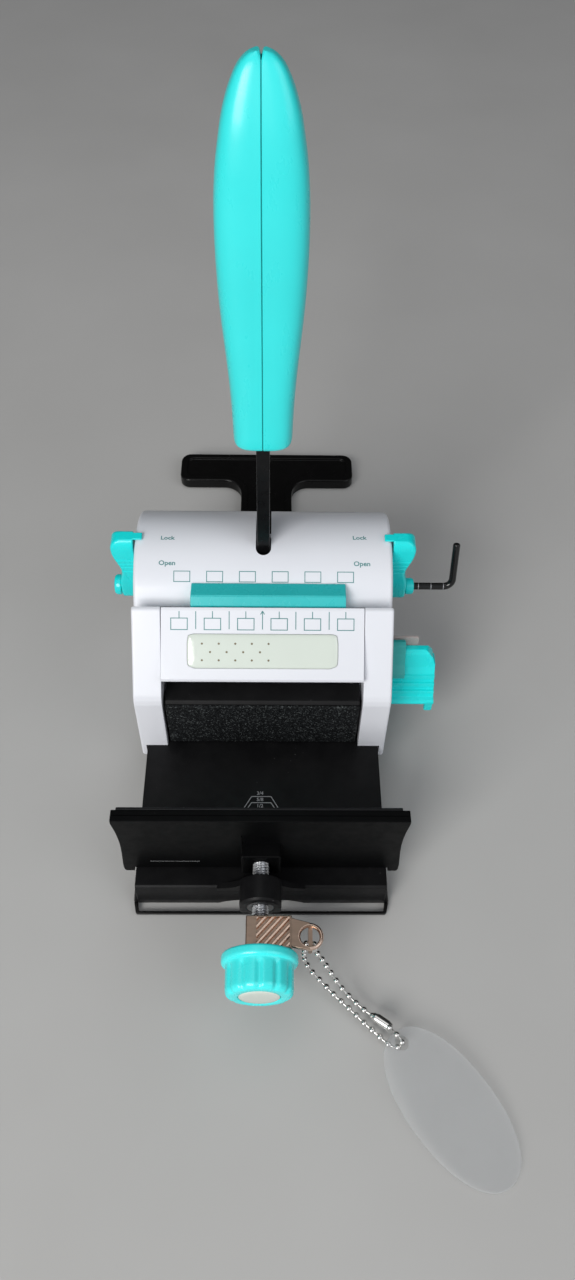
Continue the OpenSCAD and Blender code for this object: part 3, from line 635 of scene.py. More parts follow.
# ------------------------------------------------------------------ carried CAD nodes: better finishes
FINISH = {"screw_insert": BRASS, "foot_pads": RUBBER, "side_frame_left": BLACK_PAINT, "side_frame_right": BLACK_PAINT, "tie_rods": STEEL,
          "guide_plate": STEEL, "die_plate": STEEL, "paper_stop": STEEL, "ram_plate": STEEL, "ram_rods": STEEL, "platen": PLATEN, "platen_pad": GRIT,
          "punch_pins": STEEL, "return_springs": STEEL, "rod_bearings": BLACK_PLASTIC, "main_shaft": STEEL, "shaft_bushes": BRASS,
          "hub_collars": STEEL, "grip_screws": STEEL, "base_screws": STEEL, "cover_screws": STEEL, "adjuster_bolt": ZINC, "fence_plate": BLACK_PAINT,
          "fence_facing": BLACK_PLASTIC, "fence_nut": BLACK_PLASTIC, "adjuster_knob": TEAL, "knob_disc": CREAM, "spacer_clip": ROSE, "oval_tag": CLEAR,
          "side_cover_left": WHITE, "side_cover_right": WHITE, "front_panel": WHITE, "label_plate": CREAM, "head_cover": WHITE, "slot_bar": TEAL,
          "lever_arm": BLACK_PAINT, "grip_left": TEAL, "grip_right": TEAL, "lock_lever_left": TEAL, "lock_lever_right": TEAL, "rod_collet": TEAL,
          "shaft_plug": TEAL, "edge_guide_rod": BLACK_GLOSS, "chip_tray": WHITE, "tray_grip": TEAL, "tray_flap": CLEAR_FLAP_PAINTED_REFLECTION, "tray_catch": TEAL_CATCH_SHADED,
          "base_bed": BLACK_BED, "rear_foot": BLACK_GLOSS, "front_rail": BLACK_GLOSS, "ball_chain": NICKEL, "chain_connector": NICKEL}
for n, o in NODES.items():
    o.data.materials.clear()
    o.data.materials.append(FINISH[n])

# ------------------------------------------------------------------ pieces
# ---- bed
BH, BF = 15.6, -114.3


def make_bed():
    body = rprism("bed_moulding", rounded([(BF + 0.7, BH, 0.7), (BF - 0.1, BH - 0.7, 0.7), (BF - 0.7, 10, 12), (BF - 0.9, 5, 12), (BF - 0.5, 0.8, 0.6),
                                           (36, 0.8, 0.6), (36, BH, 0.8)], 0.6, 5), "x", -47.4, 47.4, 0.5, 0.5)
    boolean(body, block("t", -44.4, 44.4, BF + 3.2, 33, -1, BH - 4))
    # the front wall's lower edge arches up beside the lug
    for s in (-1, 1):
        arch = [(s * 7.0, -1), (s * 17, -1), (s * 17, 0.8)] + [(s * (7.0 + 10 * math.cos(math.radians(a))), 0.8 + 4.2 * math.sin(math.radians(a)) ** 2) for a in range(8, 91, 8)]
        boolean(body, prism("t", arch, "y", BF - 3, BF + 3.1))
    add_on = []
    lug = rprism("t", rounded([(-106, BH, 0), (-112.4, BH, 0), (-118, 23, 4), (-118, 30.2, 0), (-127.8, 30.2, 0), (-127.8, 25.7, 2), (-124.5, 18.5, 9),
                              (-118, 9.5, 14), (-114.4, 3.5, 3), (-106, 3.5, 0)], 1, 6), "x", -7.5, 7.5, 1.0, 1.0)
    add_on.append(lug)
    add_on.append(lathe("t", [(0.0, 0), (0.0, 6.5), (0.25, 6.95), (1.0, 7.5), (9.3, 7.5), (9.8, 7.0), (9.8, 0)], "y", (0, -127.8, SCREW_Z), 72, False))
    for s in (-1, 1):
        web = [(s * 6.9, BH - 2), (s * 16.5, BH - 2)] + [(s * (16.5 - 9.6 * math.sin(math.radians(a))), BH + 5.0 * (1 - math.cos(math.radians(a)))) for a in range(0, 91, 6)]
        w = prism("t", web, "y", -114.9, -112.5)
        bevel(w, 0.35, 2, lambda c, e: c.z > BH + 0.05 and abs(c.x) > 7.6, 50)
        add_on.append(w)
    flares = []
    for s in (-1, 1):
        flares.append(rprism("t", rounded([(s * 46.8, 0.8, 0), (s * 48.9, 0.8, 0.5), (s * 48.9, 3, 2), (s * 47.35, 14, 3), (s * 46.8, 14, 0)], 0.5, 5), "y", BF - 0.5, -60, 0.3, 0.3))
    for x in (-38, 38):
        for y in (-104, 26):
            add_on.append(cyl("t", "z", (x, y, 0), 6.5, 0.8, BH - 3, 32))
    for x in (-20, 20):
        add_on.append(block("t", x - 1.2, x + 1.2, BF + 3, -16, 5, BH - 3.9))
    for x, y in [(-8, 18), (-8, 28), (8, 18), (8, 28)]:
        add_on.append(cyl("t", "z", (x, y, 0), 3.6, 6.5, BH - 3, 24))
    for x, y in [(-38.5, 0), (-38.5, 14), (38.5, 0), (38.5, 14)]:
        add_on.append(cyl("t", "z", (x, y, 0), 3.6, 6.5, BH - 3, 24))
    for o in add_on:
        boolean(body, o, "UNION")
    boolean(body, cyl("t", "y", (0, 0, SCREW_Z), 5, -128, -117, 48))
    boolean(body, block("t", -13.2, 13.2, 30, 40, -1, 6.5))
    for x, y in [(-8, 18), (-8, 28), (8, 18), (8, 28)]:
        boolean(body, cyl("t", "z", (x, y, 0), 1.6, 6, 11.5, 24))
    for x, y in [(-38.5, 0), (-38.5, 14), (38.5, 0), (38.5, 14)]:
        boolean(body, cyl("t", "z", (x, y, 0), 2.1, 6, 26, 24))
    body = join("bed_moulding", [body] + flares)
    smooth(body, 35)
    piece(body, "machine", BLACK_BED, "black_paint", "base_bed")


make_bed()


def foot_outline(g, y_stem):
    h, yf, yb = 45.2 - g, 111 + g, 131 - g
    s = 13 - g
    r, rc = 5.2 - g * 0.55, 9 + g
    half = [(s, y_stem, 2.5 if g else 1), (s, yf, rc), (h, yf, r), (h, yb, r)]
    return rounded(half + [(-x, y, q) for x, y, q in reversed(half)], 1, 9)


def make_foot():
    body = prism("rear_foot_casting", foot_outline(0, -14), "z", 0.8, 6.4)
    bevel(body, 0.9, 4, lambda c, e: abs(c.z - 6.4) < 0.01, 40)
    bevel(body, 0.3, 2, lambda c, e: abs(c.z - 0.8) < 0.01, 40)
    trough = prism("t", foot_outline(3.4, 38), "z", 5.4, 8)
    boolean(body, trough)
    bevel(body, 0.5, 4, lambda c, e: c.z > 5.3 and c.y > 37 and abs(e.verts[0].co.z - e.verts[1].co.z) < 1e-6 and abs(e.calc_face_angle(0) - math.pi / 2) < 0.5, 40)
    for x, y in [(-8, 18), (-8, 28), (8, 18), (8, 28)]:
        boolean(body, cyl("t", "z", (x, y, 0), 2.1, 0, 10, 24))
        boolean(body, cyl("t", "z", (x, y, 0), 3.6, 0, 4.1, 32))
    smooth(body, 30)
    piece(body, "machine", BLACK_GLOSS, "black_gloss", "rear_foot")
    yb, yf = BF - 0.68, BF - 5.2
    rail = rprism("front_rail_bar", rounded([(-48.9, yb, 0.25), (-47.9, yf, 0.9), (47.9, yf, 0.9), (48.9, yb, 0.25), (47.4, yb, 0.25), (46.9, BF - 4.2, 0.4), (-46.9, BF - 4.2, 0.4), (-47.4, yb, 0.25)], 0.3, 4), "z", 0.8, 2.4, 0.2, 0.22, 3)
    smooth(rail, 35)
    piece(rail, "machine", BLACK_GLOSS, "black_gloss", "front_rail")


make_foot()

# ---- fence
def make_fence():
    z0, z1 = 15.95, 55.45
    side = [(48.1, z0, 0), (48.1, 12.9, 0.4), (51.6, 12.9, 1.2), (52.0, 14.6, 2), (52.0, 18.4, 8), (51.6, 24, 20), (51.2, 30, 20), (51.0, 36, 20), (51.1, 41, 20), (51.4, 46, 15), (51.9, 50, 8), (52.3, 53.0, 4), (52.3, z1, 0.5)]
    plate = rprism("fence_plate_body", rounded(side + [(-x, z, r) for x, z, r in reversed(side)], 0.5, 5), "y", -106.7, -102.2, 0.28, 0.28, 3)
    # the line between the casting and the strip behind it
    boolean(plate, block("t", -60, 60, -104.55, -104.3, 55.1, 60))
    smooth(plate, 35)
    piece(plate, "fence", BLACK_PAINT, "black_paint", "fence_plate")
    facing = prism("fence_facing_sheet", rounded([(-50.6, z0, 0.6), (49.8, z0, 0.6), (49.8, z1, 0.5), (-50.6, z1, 0.5)], 0.5, 4), "y", -102.2, -101.2)
    bevel(facing, 0.25, 3, None, 40)
    smooth(facing, 35)
    piece(facing, "fence", BLACK_PLASTIC, "black_plastic", "fence_facing")
    nut = prism("nut_block_body", rounded([(-7.2, 22.8, 0.7), (7.2, 22.8, 0.7), (7.2, 37.6, 0.7), (-7.2, 37.6, 0.7)], 0.7, 4), "y", -112, -106.7)
    bevel(nut, 0.5, 3, lambda c, e: abs(c.y + 112) < 0.02, 40)
    boolean(nut, cyl("t", "y", (0, 0, SCREW_Z), 3.05, -113, -107.2, 40))
    boolean(nut, lathe("t", [(-1, 0), (-1, 4.4), (0.7, 3.0), (0.7, 0)], "y", (0, -112, SCREW_Z), 40, False))
    rib = block("t", -7.15, -6.75, -107.05, -106.6, 36, 44)
    bevel(rib, 0.12, 2, None, 40)
    boolean(nut, rib, "UNION")
    smooth(nut, 35)
    piece(nut, "fence", BLACK_PAINT, "black_plastic", "fence_nut")
    # a thin light line on the fence face: a painted highlight along an edge
    line = block("fence_edge_highlight", -41.5, -23, -106.72, -106.69, 21.78, 21.87)
    piece(line, "fence", INK_WHITE, "black_paint")


make_fence()


def thread(name, y0, y1, r_root, r_out, pitch, n=30, per=7, taper=1.2):
    rings, L = [], y1 - y0
    steps = int(L / pitch * per)
    for i in range(steps + 1):
        y = y0 + L * i / steps
        ring = []
        for k in range(n):
            a = 2 * math.pi * k / n
            ph = ((y - y0) / pitch + k / n) % 1
            t = 1 - abs(2 * ph - 1)
            t = min(1, max(0, (t - 0.15) / 0.7))
            r = r_root + (r_out - r_root) * t
            e = min(y - y0, y1 - y)
            r -= max(0, taper - e) * 0.45
            ring.append((r * math.cos(a), y, SCREW_Z + r * math.sin(a)))
        rings.append(ring)
    ob = loft(name, rings, True)
    return smooth(ob, 50, False)


def make_adjuster():
    bolt = thread("threaded_rod", -156, -107.4, 2.5, 3.0, 1.0)
    piece(bolt, "knob", ZINC, "zinc", "adjuster_bolt")
    stations = [(-144.6, 3.06, 0), (-144.6, 12.4, 0), (-144.75, 12.9, 0), (-145.1, 13.2, 0), (-145.6, 13.3, 0), (-147.0, 13.3, 0), (-147.6, 13.18, 0), (-148.0, 12.85, 0), (-148.2, 12.3, 0),
                (-148.35, 11.95, 0), (-148.7, 11.8, 0.0), (-149.2, 11.8, 0.25), (-149.8, 11.8, 0.8), (-150.6, 11.8, 1.0), (-156.4, 11.75, 1.0), (-157.2, 11.6, 1.0), (-157.8, 11.3, 0.95),
                (-158.3, 10.85, 0.85), (-158.6, 10.35, 0.6), (-158.78, 9.7, 0.3), (-158.8, 9.0, 0.0), (-158.8, 7.55, 0), (-158.72, 7.35, 0), (-158.5, 7.25, 0), (-158.0, 7.25, 0), (-158.0, 0.02, 0)]
    n, rings = 240, []
    for y, r, fl in stations:
        ring = []
        for k in range(n):
            a = 2 * math.pi * k / n
            d = abs((math.degrees(a) + 15) % 30 - 15) / 8.6
            cut = 0.72 * (0.5 + 0.5 * math.cos(math.pi * min(1, d))) * fl
            ring.append(((r - cut) * math.cos(a), y, SCREW_Z + (r - cut) * math.sin(a)))
        rings.append(ring)
    knob = loft("adjuster_knob_body", rings, True)
    hole = cyl("t", "y", (0, 0, SCREW_Z), 3.06, -156, -144, 40)
    boolean(knob, hole)
    smooth(knob, 30)
    # the knob takes the lighter teal: painted light
    piece(knob, "knob", TEAL_KNOB_LIT, "teal_plastic", "adjuster_knob")
    disc = lathe("knob_badge", [(-1.08, 0), (-1.07, 3), (-1.02, 5.2), (-0.9, 6.5), (-0.65, 6.98), (0, 7.1), (0, 0)], "y", (0, -158, SCREW_Z), 64, False)
    smooth(disc, 40)
    piece(disc, "knob", CREAM, "cream_label", "knob_disc")
    ins = lathe("screw_insert_ring", [(0.25, 3.05), (0.0, 3.6), (0.0, 4.7), (0.3, 5.0), (9.8, 5.0), (9.8, 3.05)], "y", (0, -127.8, SCREW_Z), 48, True)
    smooth(ins, 35)
    piece(ins, "machine", DARK_STEEL, "steel", "screw_insert")


make_adjuster()


def make_clip():
    body = block("clip_body", -4.9, 11, -143.9, -132.4, 25.6, 35.9)
    bevel(body, 0.45, 3, None, 40)
    boolean(body, prism("t", [(-3.25, 20), (3.25, 20)] + [(3.25 * math.cos(math.radians(a)), SCREW_Z + 3.25 * math.sin(math.radians(a))) for a in range(0, 181, 9)], "y", -145, -131))
    boolean(body, block("t", -1.2, 10.2, -143.2, -133.1, 35.0, 36.5))
    panel = block("t", -1.2, 10.2, -143.2, -133.1, 34.9, 35.84)
    ribs = []
    for i in range(-4, 8):
        r = prism("t", [(-0.72, 34.8), (0.72, 34.8), (0.5, 35.6), (0.3, 35.84), (-0.3, 35.84), (-0.5, 35.6)], "y", -16, 16)
        r.data.transform(Matrix.Translation(Vector((i * 2.75, -138.2, 0)) * MM) @ Matrix.Rotation(math.radians(-42), 4, "Z"))
        ribs.append(r)
    ribs = join("t", ribs)
    boolean(ribs, panel, "INTERSECT")
    # wedge that carries the ring
    tab = prism("t", rounded([(10.6, -143.3, 0.3), (10.6, -133.2, 0.3), (13.2, -134.0, 1.5), (17.2, -135.0, 0), (17.2, -144.3, 0), (13.6, -143.9, 1)], 0.5, 5), "z", 34.2, 35.9)
    bevel(tab, 0.3, 3, lambda c, e: c.z > 35.8 or c.z < 34.3, 40)
    eye = prism("t", rounded([(-143.4, 27.2, 1.6), (-136, 27.2, 1.6), (-136, 34.6, 0), (-143.4, 34.6, 0)], 1, 6), "x", 16.7, 18.1)
    bevel(eye, 0.25, 2, lambda c, e: c.x < 16.75 or c.x > 18.05, 40)
    boolean(body, tab, "UNION")
    boolean(body, eye, "UNION")
    boolean(body, cyl("t", "x", (0, -140.1, 29.6), 1.5, 16, 19, 32))
    boolean(body, cyl("t", "z", (17.2, -139.7, 0), 4.0, 34.15, 40, 48))
    ring = lathe("t", [(34.2, 3.5), (34.2, 4.3), (34.5, 4.7), (35.1, 4.7), (35.5, 4.55), (35.8, 4.25), (35.9, 4.0), (35.85, 3.75), (35.2, 3.35), (34.6, 3.3)], "z", (17.2, -139.7, 0), 64, True)
    smooth(body, 38)
    body.name = "spacer_clip_body"
    piece(body, "fence", ROSE, "rose_metal", "spacer_clip")
    # the ribs and the ring take the lighter rose metal: painted highlight
    bright = join("spacer_clip_ribs", [ribs, ring])
    smooth(bright, 38)
    piece(bright, "fence", ROSE_HIGHLIT, "rose_metal")


make_clip()


def oval(a, b, n=144):
    out = []
    for k in range(n):
        t = 2 * math.pi * k / n
        c, s = math.cos(t), math.sin(t)
        out.append((a * math.copysign(abs(c) ** 0.93, c), b * math.copysign(abs(s) ** 0.93, s)))
    return out


def make_tag():
    rings = [[(x, y, h) for x, y in oval(29.8 - i, 15.2 - i)] for h, i in [(0, 0.45), (0.15, 0.15), (0.5, 0.0), (1.4, 0.0), (1.75, 0.15), (1.9, 0.45)]]
    tag = loft("tag_plate", rings, True)
    boolean(tag, lathe("t", [(-1, 0), (-1, 2.9), (0.35, 2.4), (1.55, 2.4), (2.9, 2.9), (2.9, 0)], "z", (-25.4, 0, 0), 48, False))
    m = Matrix.Translation(Vector((65.3, -187.2, 0.3 + 2.15)) * MM) @ Matrix.Rotation(math.radians(-52.5), 4, "Z") @ Matrix.Rotation(math.asin(4.3 / 59.6), 4, "Y")
    tag.data.transform(m)
    smooth(tag, 30)
    piece(tag, "fence", CLEAR, "clear_acrylic", "oval_tag")


make_tag()

# ---- covers
SIDE = [(-20, 73.1, 2), (-27.6, 73.1, 1.6), (-50.6, 48, 6), (-51.6, 46.2, 3), (-52.2, 44, 6), (-53.8, 7.8, 1.4), (35.2, 7.8, 1.4), (35.2, 45.6, 1.4), (-20, 45.6, 0)]
SCREWS_AT = [(26, 22), (-1, 26), (23, 41)]


def make_side(right):
    body = rprism("side_cover_shell", rounded(SIDE, 0.5, 6), "x", 39.05, 50.2, 0.3, 1.1)
    boolean(body, block("t", 30, 60, -26.2, 40, 45.6, 80))
    boolean(body, block("t", 30, 48, -60, 40, 0, 15.8))
    boolean(body, block("t", 30, 48, -26.2, 40, 0, 80))
    boolean(body, prism("t", [(-20, 66.4), (-30, 66.4), (-48.6, 46.1), (-49.6, 43.6), (-50.8, 14), (-20, 14)], "x", 41.4, 48.0))
    if right:
        w = block("t", 30, 60, -40.4, -20.2, 16.2, 32.2)
        boolean(body, w)
    for y, z in SCREWS_AT:
        boolean(body, cyl("t", "x", (0, y, z), 1.6, 46, 49.0, 24))
        boolean(body, cyl("t", "x", (0, y, z), 2.9, 49.0, 52, 32))
    boolean(body, cyl("t", "x", (0, AX_Y, AX_Z), 6.3, 46, 60, 48))
    if not right:
        o = mirror_x(body, "side_cover_shell_left")
        bpy.data.objects.remove(body)
        body = o
    smooth(body, 32)
    piece(body, "machine", WHITE, "white_plastic", "side_cover_right" if right else "side_cover_left")


make_side(True)
make_side(False)

PD, PN = Vector((0, -0.7753, -0.6316)), Vector((0, -0.6316, 0.7753))
P0 = Vector((0, -27.3, 72.5))


def on_panel(x, t, h=0.0):
    return tuple(Vector((x, 0, 0)) + P0 + PD * t + PN * h)


def panel_strip(a, b, w, h0=-0.05, h1=0.035):
    (x0, t0), (x1, t1) = a, b
    d = Vector((x1 - x0, t1 - t0)).normalized()
    n = Vector((-d.y, d.x)) * w / 2
    c = [(x0 - n.x, t0 - n.y), (x0 + n.x, t0 + n.y), (x1 + n.x, t1 + n.y), (x1 - n.x, t1 - n.y)]
    v = [on_panel(x, t, h0) for x, t in c] + [on_panel(x, t, h1) for x, t in c]
    return v, [[0, 1, 2, 3], [7, 6, 5, 4], [0, 4, 5, 1], [1, 5, 6, 2], [2, 6, 7, 3], [3, 7, 4, 0]]


def merged(name, parts):
    v, f = [], []
    for pv, pf in parts:
        f += [[i + len(v) for i in q] for q in pf]
        v += pv
    return add(name, v, f)


LABEL = [(-28.6, 21.2, 1.5), (-25.8, 22.2, 3), (25.8, 22.2, 3), (28.6, 21.2, 1.5), (28.8, 17.6, 3), (28.8, 12.6, 3), (28.4, 9.6, 0.8), (26.6, 9.0, 2),
         (-26.6, 9.0, 2), (-28.4, 9.6, 0.8), (-28.8, 12.6, 3), (-28.8, 17.6, 3)]


def label_ring(inset, h, grow=0.0):
    pts = rounded(LABEL, 1, 5)
    return [on_panel(x * (1 - (inset - grow) / 28.8), 15.6 + (t - 15.6) * (1 - (inset - grow) / 6.6), h) for x, t in pts]


def make_panel():
    body = prism("front_panel_shell", rounded([(-26.2, 73.1, 0.2), (-27.3, 72.5, 0.8), (-47.8, 55.8, 0.7), (-48.1, 54.6, 0.4), (-46.9, 53.4, 0.4), (-45.4, 54.3, 0.2),
                                               (-28.6, 68.2, 0.2), (-28.6, 66, 0.1), (-26.2, 66, 0.1)], 0.3, 5), "x", -38.8, 38.8)
    bevel(body, 0.35, 3, lambda c, e: abs(c.x) > 38.7, 40)
    boolean(body, loft("t", [label_ring(0, -0.55, 0.12), label_ring(0, 2, 0.12)], True))
    smooth(body, 32)
    piece(body, "machine", WHITE, "white_plastic", "front_panel")
    label = loft("label_dome", [label_ring(0.0, -0.5), label_ring(0.0, 0.02), label_ring(0.12, 0.2), label_ring(0.4, 0.38), label_ring(0.9, 0.5), label_ring(1.8, 0.57), label_ring(3.2, 0.6)], True)
    smooth(label, 50)
    piece(label, "machine", CREAM, "cream_label", "label_plate")
    dots = []
    for t, xs in ((12.7, (-23.1, -16.7, -10.4, -4.1, 2.25)), (15.9, (-20, -13.7, -7.4, -1.0)), (19.05, (-23.1, -16.7, -10.4, -4.1, 2.25))):
        for x in xs:
            n = 14
            h = 0.615 if abs(t - 15.6) < 2 else 0.605
            v = [on_panel(x + 0.42 * math.cos(2 * math.pi * k / n), t + 0.42 * math.sin(2 * math.pi * k / n), hh) for hh in (0.4, h) for k in range(n)]
            dots.append((v, [list(range(n)), list(range(2 * n - 1, n - 1, -1))] + [[k, (k + 1) % n, n + (k + 1) % n, n + k] for k in range(n)]))
    d = merged("label_dots", dots)
    piece(d, "machine", INK_DOT, "cream_label")
    L = []
    w = 0.32
    for k in range(6):
        cx = 12.7 * (k - 2.5) - 0.1
        x0, x1, t0, t1 = cx - 3.13, cx + 3.13, 3.05, 7.43
        L += [panel_strip((x0 - w / 2, t0), (x1 + w / 2, t0), w), panel_strip((x0 - w / 2, t1), (x1 + w / 2, t1), w), panel_strip((x0, t0), (x0, t1), w), panel_strip((x1, t0), (x1, t1), w),
              panel_strip((cx, 0.4), (cx, t0), w)]
        if k < 5:
            L.append(panel_strip((cx + 6.35, 0.4), (cx + 6.35, 7.2), w))
            if k == 2:
                L += [panel_strip((cx + 6.35, 0.25), (cx + 6.35 - 0.75, 1.5), w), panel_strip((cx + 6.35, 0.25), (cx + 6.35 + 0.75, 1.5), w)]
    m = merged("panel_marks", L)
    piece(m, "machine", INK, "white_plastic")


make_panel()

R = 30.7


def on_head(x, ang, r=R):
    a = math.radians(ang)
    return (x, AX_Y - r * math.sin(a), AX_Z + r * math.cos(a))


def text_mesh(s, size):
    cu = bpy.data.curves.new("t", "FONT")
    cu.body, cu.size, cu.align_x, cu.align_y = s, size, "CENTER", "CENTER"
    cu.extrude, cu.resolution_u, cu.offset = 0.02, 3, 0.018
    o = bpy.data.objects.new("t", cu)
    scene.collection.objects.link(o)
    bpy.context.view_layer.update()
    me = bpy.data.meshes.new_from_object(o.evaluated_get(bpy.context.evaluated_depsgraph_get()))
    bpy.data.objects.remove(o)
    return me


def make_head():
    deg = [-56 + 146 * k / 60 for k in range(61)]
    prof = [(AX_Y, AX_Z)] + [(AX_Y + R * math.sin(math.radians(a)), AX_Z + R * math.cos(math.radians(a))) for a in deg]
    prof += [(AX_Y + R, BH + 0.3), (AX_Y + R - 2.2, BH + 0.3), (AX_Y + R - 2.2, 45.8), (AX_Y + 8, 45.8)]
    body = prism("head_cover_shell", prof, "x", -50.6, 50.6)
    bevel(body, 1.6, 5, lambda c, e: abs(abs(c.x) - 50.6) < 0.02 and ((Vector((c.y - AX_Y, c.z - AX_Z)).length > R - 0.3 and c.z > AX_Z) or c.y > AX_Y + R - 0.1), 40)
    inner = prism("t", [(AX_Y + 28.5 * math.sin(math.radians(a)), AX_Z + 28.5 * math.cos(math.radians(a))) for a in range(-180, 180, 4)], "x", -48.4, 48.4)
    boolean(body, inner)
    for s in (-1, 1):
        boolean(body, block("t", min(s * 47.8, s * 60), max(s * 47.8, s * 60), 20, 40, 0, 45.8))
    boolean(body, cyl("t", "x", (0, AX_Y, AX_Z), 6.3, -60, 60, 48))
    slot = [(-3, 60), (3, 60)] + [(3 * math.cos(math.radians(a)), -1.7 - 3 * math.sin(math.radians(a))) for a in range(0, 181, 9)]
    boolean(body, prism("t", slot, "z", 47.5, 100))
    smooth(body, 32)
    piece(body, "machine", WHITE, "white_plastic", "head_cover")
    L = []
    w = 0.30

    def head_strip(x0, a0, x1, a1, wx, wa):
        # a strip from (x, angle) to (x, angle), wx wide across for upright ones, wa degrees for level ones
        v, f, n = [], [], 6
        for i in range(n + 1):
            t = i / n
            x, a = x0 + (x1 - x0) * t, a0 + (a1 - a0) * t
            v += [on_head(x - wx / 2, a - wa / 2, R - 0.05), on_head(x + wx / 2, a + wa / 2, R - 0.05), on_head(x + wx / 2, a + wa / 2, R + 0.035), on_head(x - wx / 2, a - wa / 2, R + 0.035)]
        for i in range(n):
            b = 4 * i
            f += [[b + k, b + (k + 1) % 4, b + 4 + (k + 1) % 4, b + 4 + k] for k in range(4)]
        f += [[3, 2, 1, 0], [4 * n, 4 * n + 1, 4 * n + 2, 4 * n + 3]]
        return v, f
    wd = math.degrees(w / R)
    for k in range(6):
        cx = 12.7 * (k - 2.5) + 0.22
        x0, x1, a0, a1 = cx - 3.1, cx + 3.1, 29.9, 37.5
        for a in (a0, a1):
            v, f = head_strip(x0 - w / 2, a, x1 + w / 2, a, 0, wd)
            L.append((v, f))
        for x in (x0, x1):
            L.append(head_strip(x, a0, x, a1, w, 0))
    m = merged("head_marks", L)
    piece(m, "machine", INK, "white_plastic")
    texts = []
    for s, cx, ang, width in (("Lock", -37.5, 3.3, 5.5), ("Lock", 37.9, 2.1, 5.5), ("Open", -37.4, 24.0, 6.4), ("Open", 38.4, 23.8, 6.4)):
        me = text_mesh(s, 1.0)
        xs = [v.co.x for v in me.vertices]
        k = width / (max(xs) - min(xs))
        mid = (max(xs) + min(xs)) / 2
        for v in me.vertices:
            x, y, h = (v.co.x - mid) * k, v.co.y * k * 0.92, (0.035 if v.co.z > 0 else -0.06)
            v.co = Vector(on_head(cx + x, ang - math.degrees(y / R), R + h)) * MM
        o = bpy.data.objects.new("t", me)
        scene.collection.objects.link(o)
        texts.append(o)
    t = join("head_words", texts)
    piece(t, "machine", INK, "white_plastic")
    bar = rprism("slot_bar_body", rounded([(-14.6, 73.4), (-15.4, 74.1), (-21.6, 74.7), (-22.3, 74.5), (-24.9, 72.2), (-25.1, 71.6), (-25.1, 67.6), (-19, 64)], 0.5, 5), "x", -27.8, 31.9, 0.45, 0.45)
    boolean(bar, cyl("t", "x", (0, AX_Y, AX_Z), R + 0.03, -40, 40, 220))
    boolean(bar, block("t", -40, 40, -22, -10, 50, 66.6))
    smooth(bar, 32)
    # the bar takes the darker teal: painted shade
    piece(bar, "machine", TEAL_BAR_SHADED, "teal_plastic", "slot_bar")


make_head()

# ---- lever and grip
GRIP_AT = 75.7
GRIP = [(0, 8.0), (0.25, 9.0), (0.7, 9.75), (1.4, 10.25), (2.6, 10.5), (6, 10.6), (13, 10.85), (20, 11.2), (27, 11.7), (33, 12.2), (40, 12.85), (46, 13.4), (52, 13.85), (58, 14.2), (66, 14.5), (73, 14.6), (79, 14.55),
        (84, 14.4), (88, 14.15), (92, 13.8), (95, 13.45), (98, 13), (101.5, 12.4), (105, 11.8), (108, 11.1), (111, 10.2), (113.5, 9.3), (115.6, 8.4), (117.4, 7.55), (119, 6.6), (120.2, 5.65), (121.2, 4.6), (122.0, 3.5), (122.6, 2.0)]


def lerp(tab, s):
    for (a, u), (b, v) in zip(tab, tab[1:]):
        if s <= b:
            return u + (v - u) * max(0, (s - a)) / (b - a)
    return tab[-1][1]


def grip_front(s):
    return lerp([(0, -12.2), (0.4, -13.6), (1.2, -14.5), (2.6, -15.0), (84, -15), (94, -14.5), (104, -13.4), (112, -11.6), (118, -9.8), (121, -8.6), (122.6, -7.2)], s)


def grip_back(s):
    return lerp([(0, 5.4), (0.4, 6.6), (1.2, 7.4), (2.6, 8.0), (84, 8), (94, 7.0), (104, 5.4), (112, 3.2), (118, 0.8), (121, -1.0), (122.6, -2.6)], s)


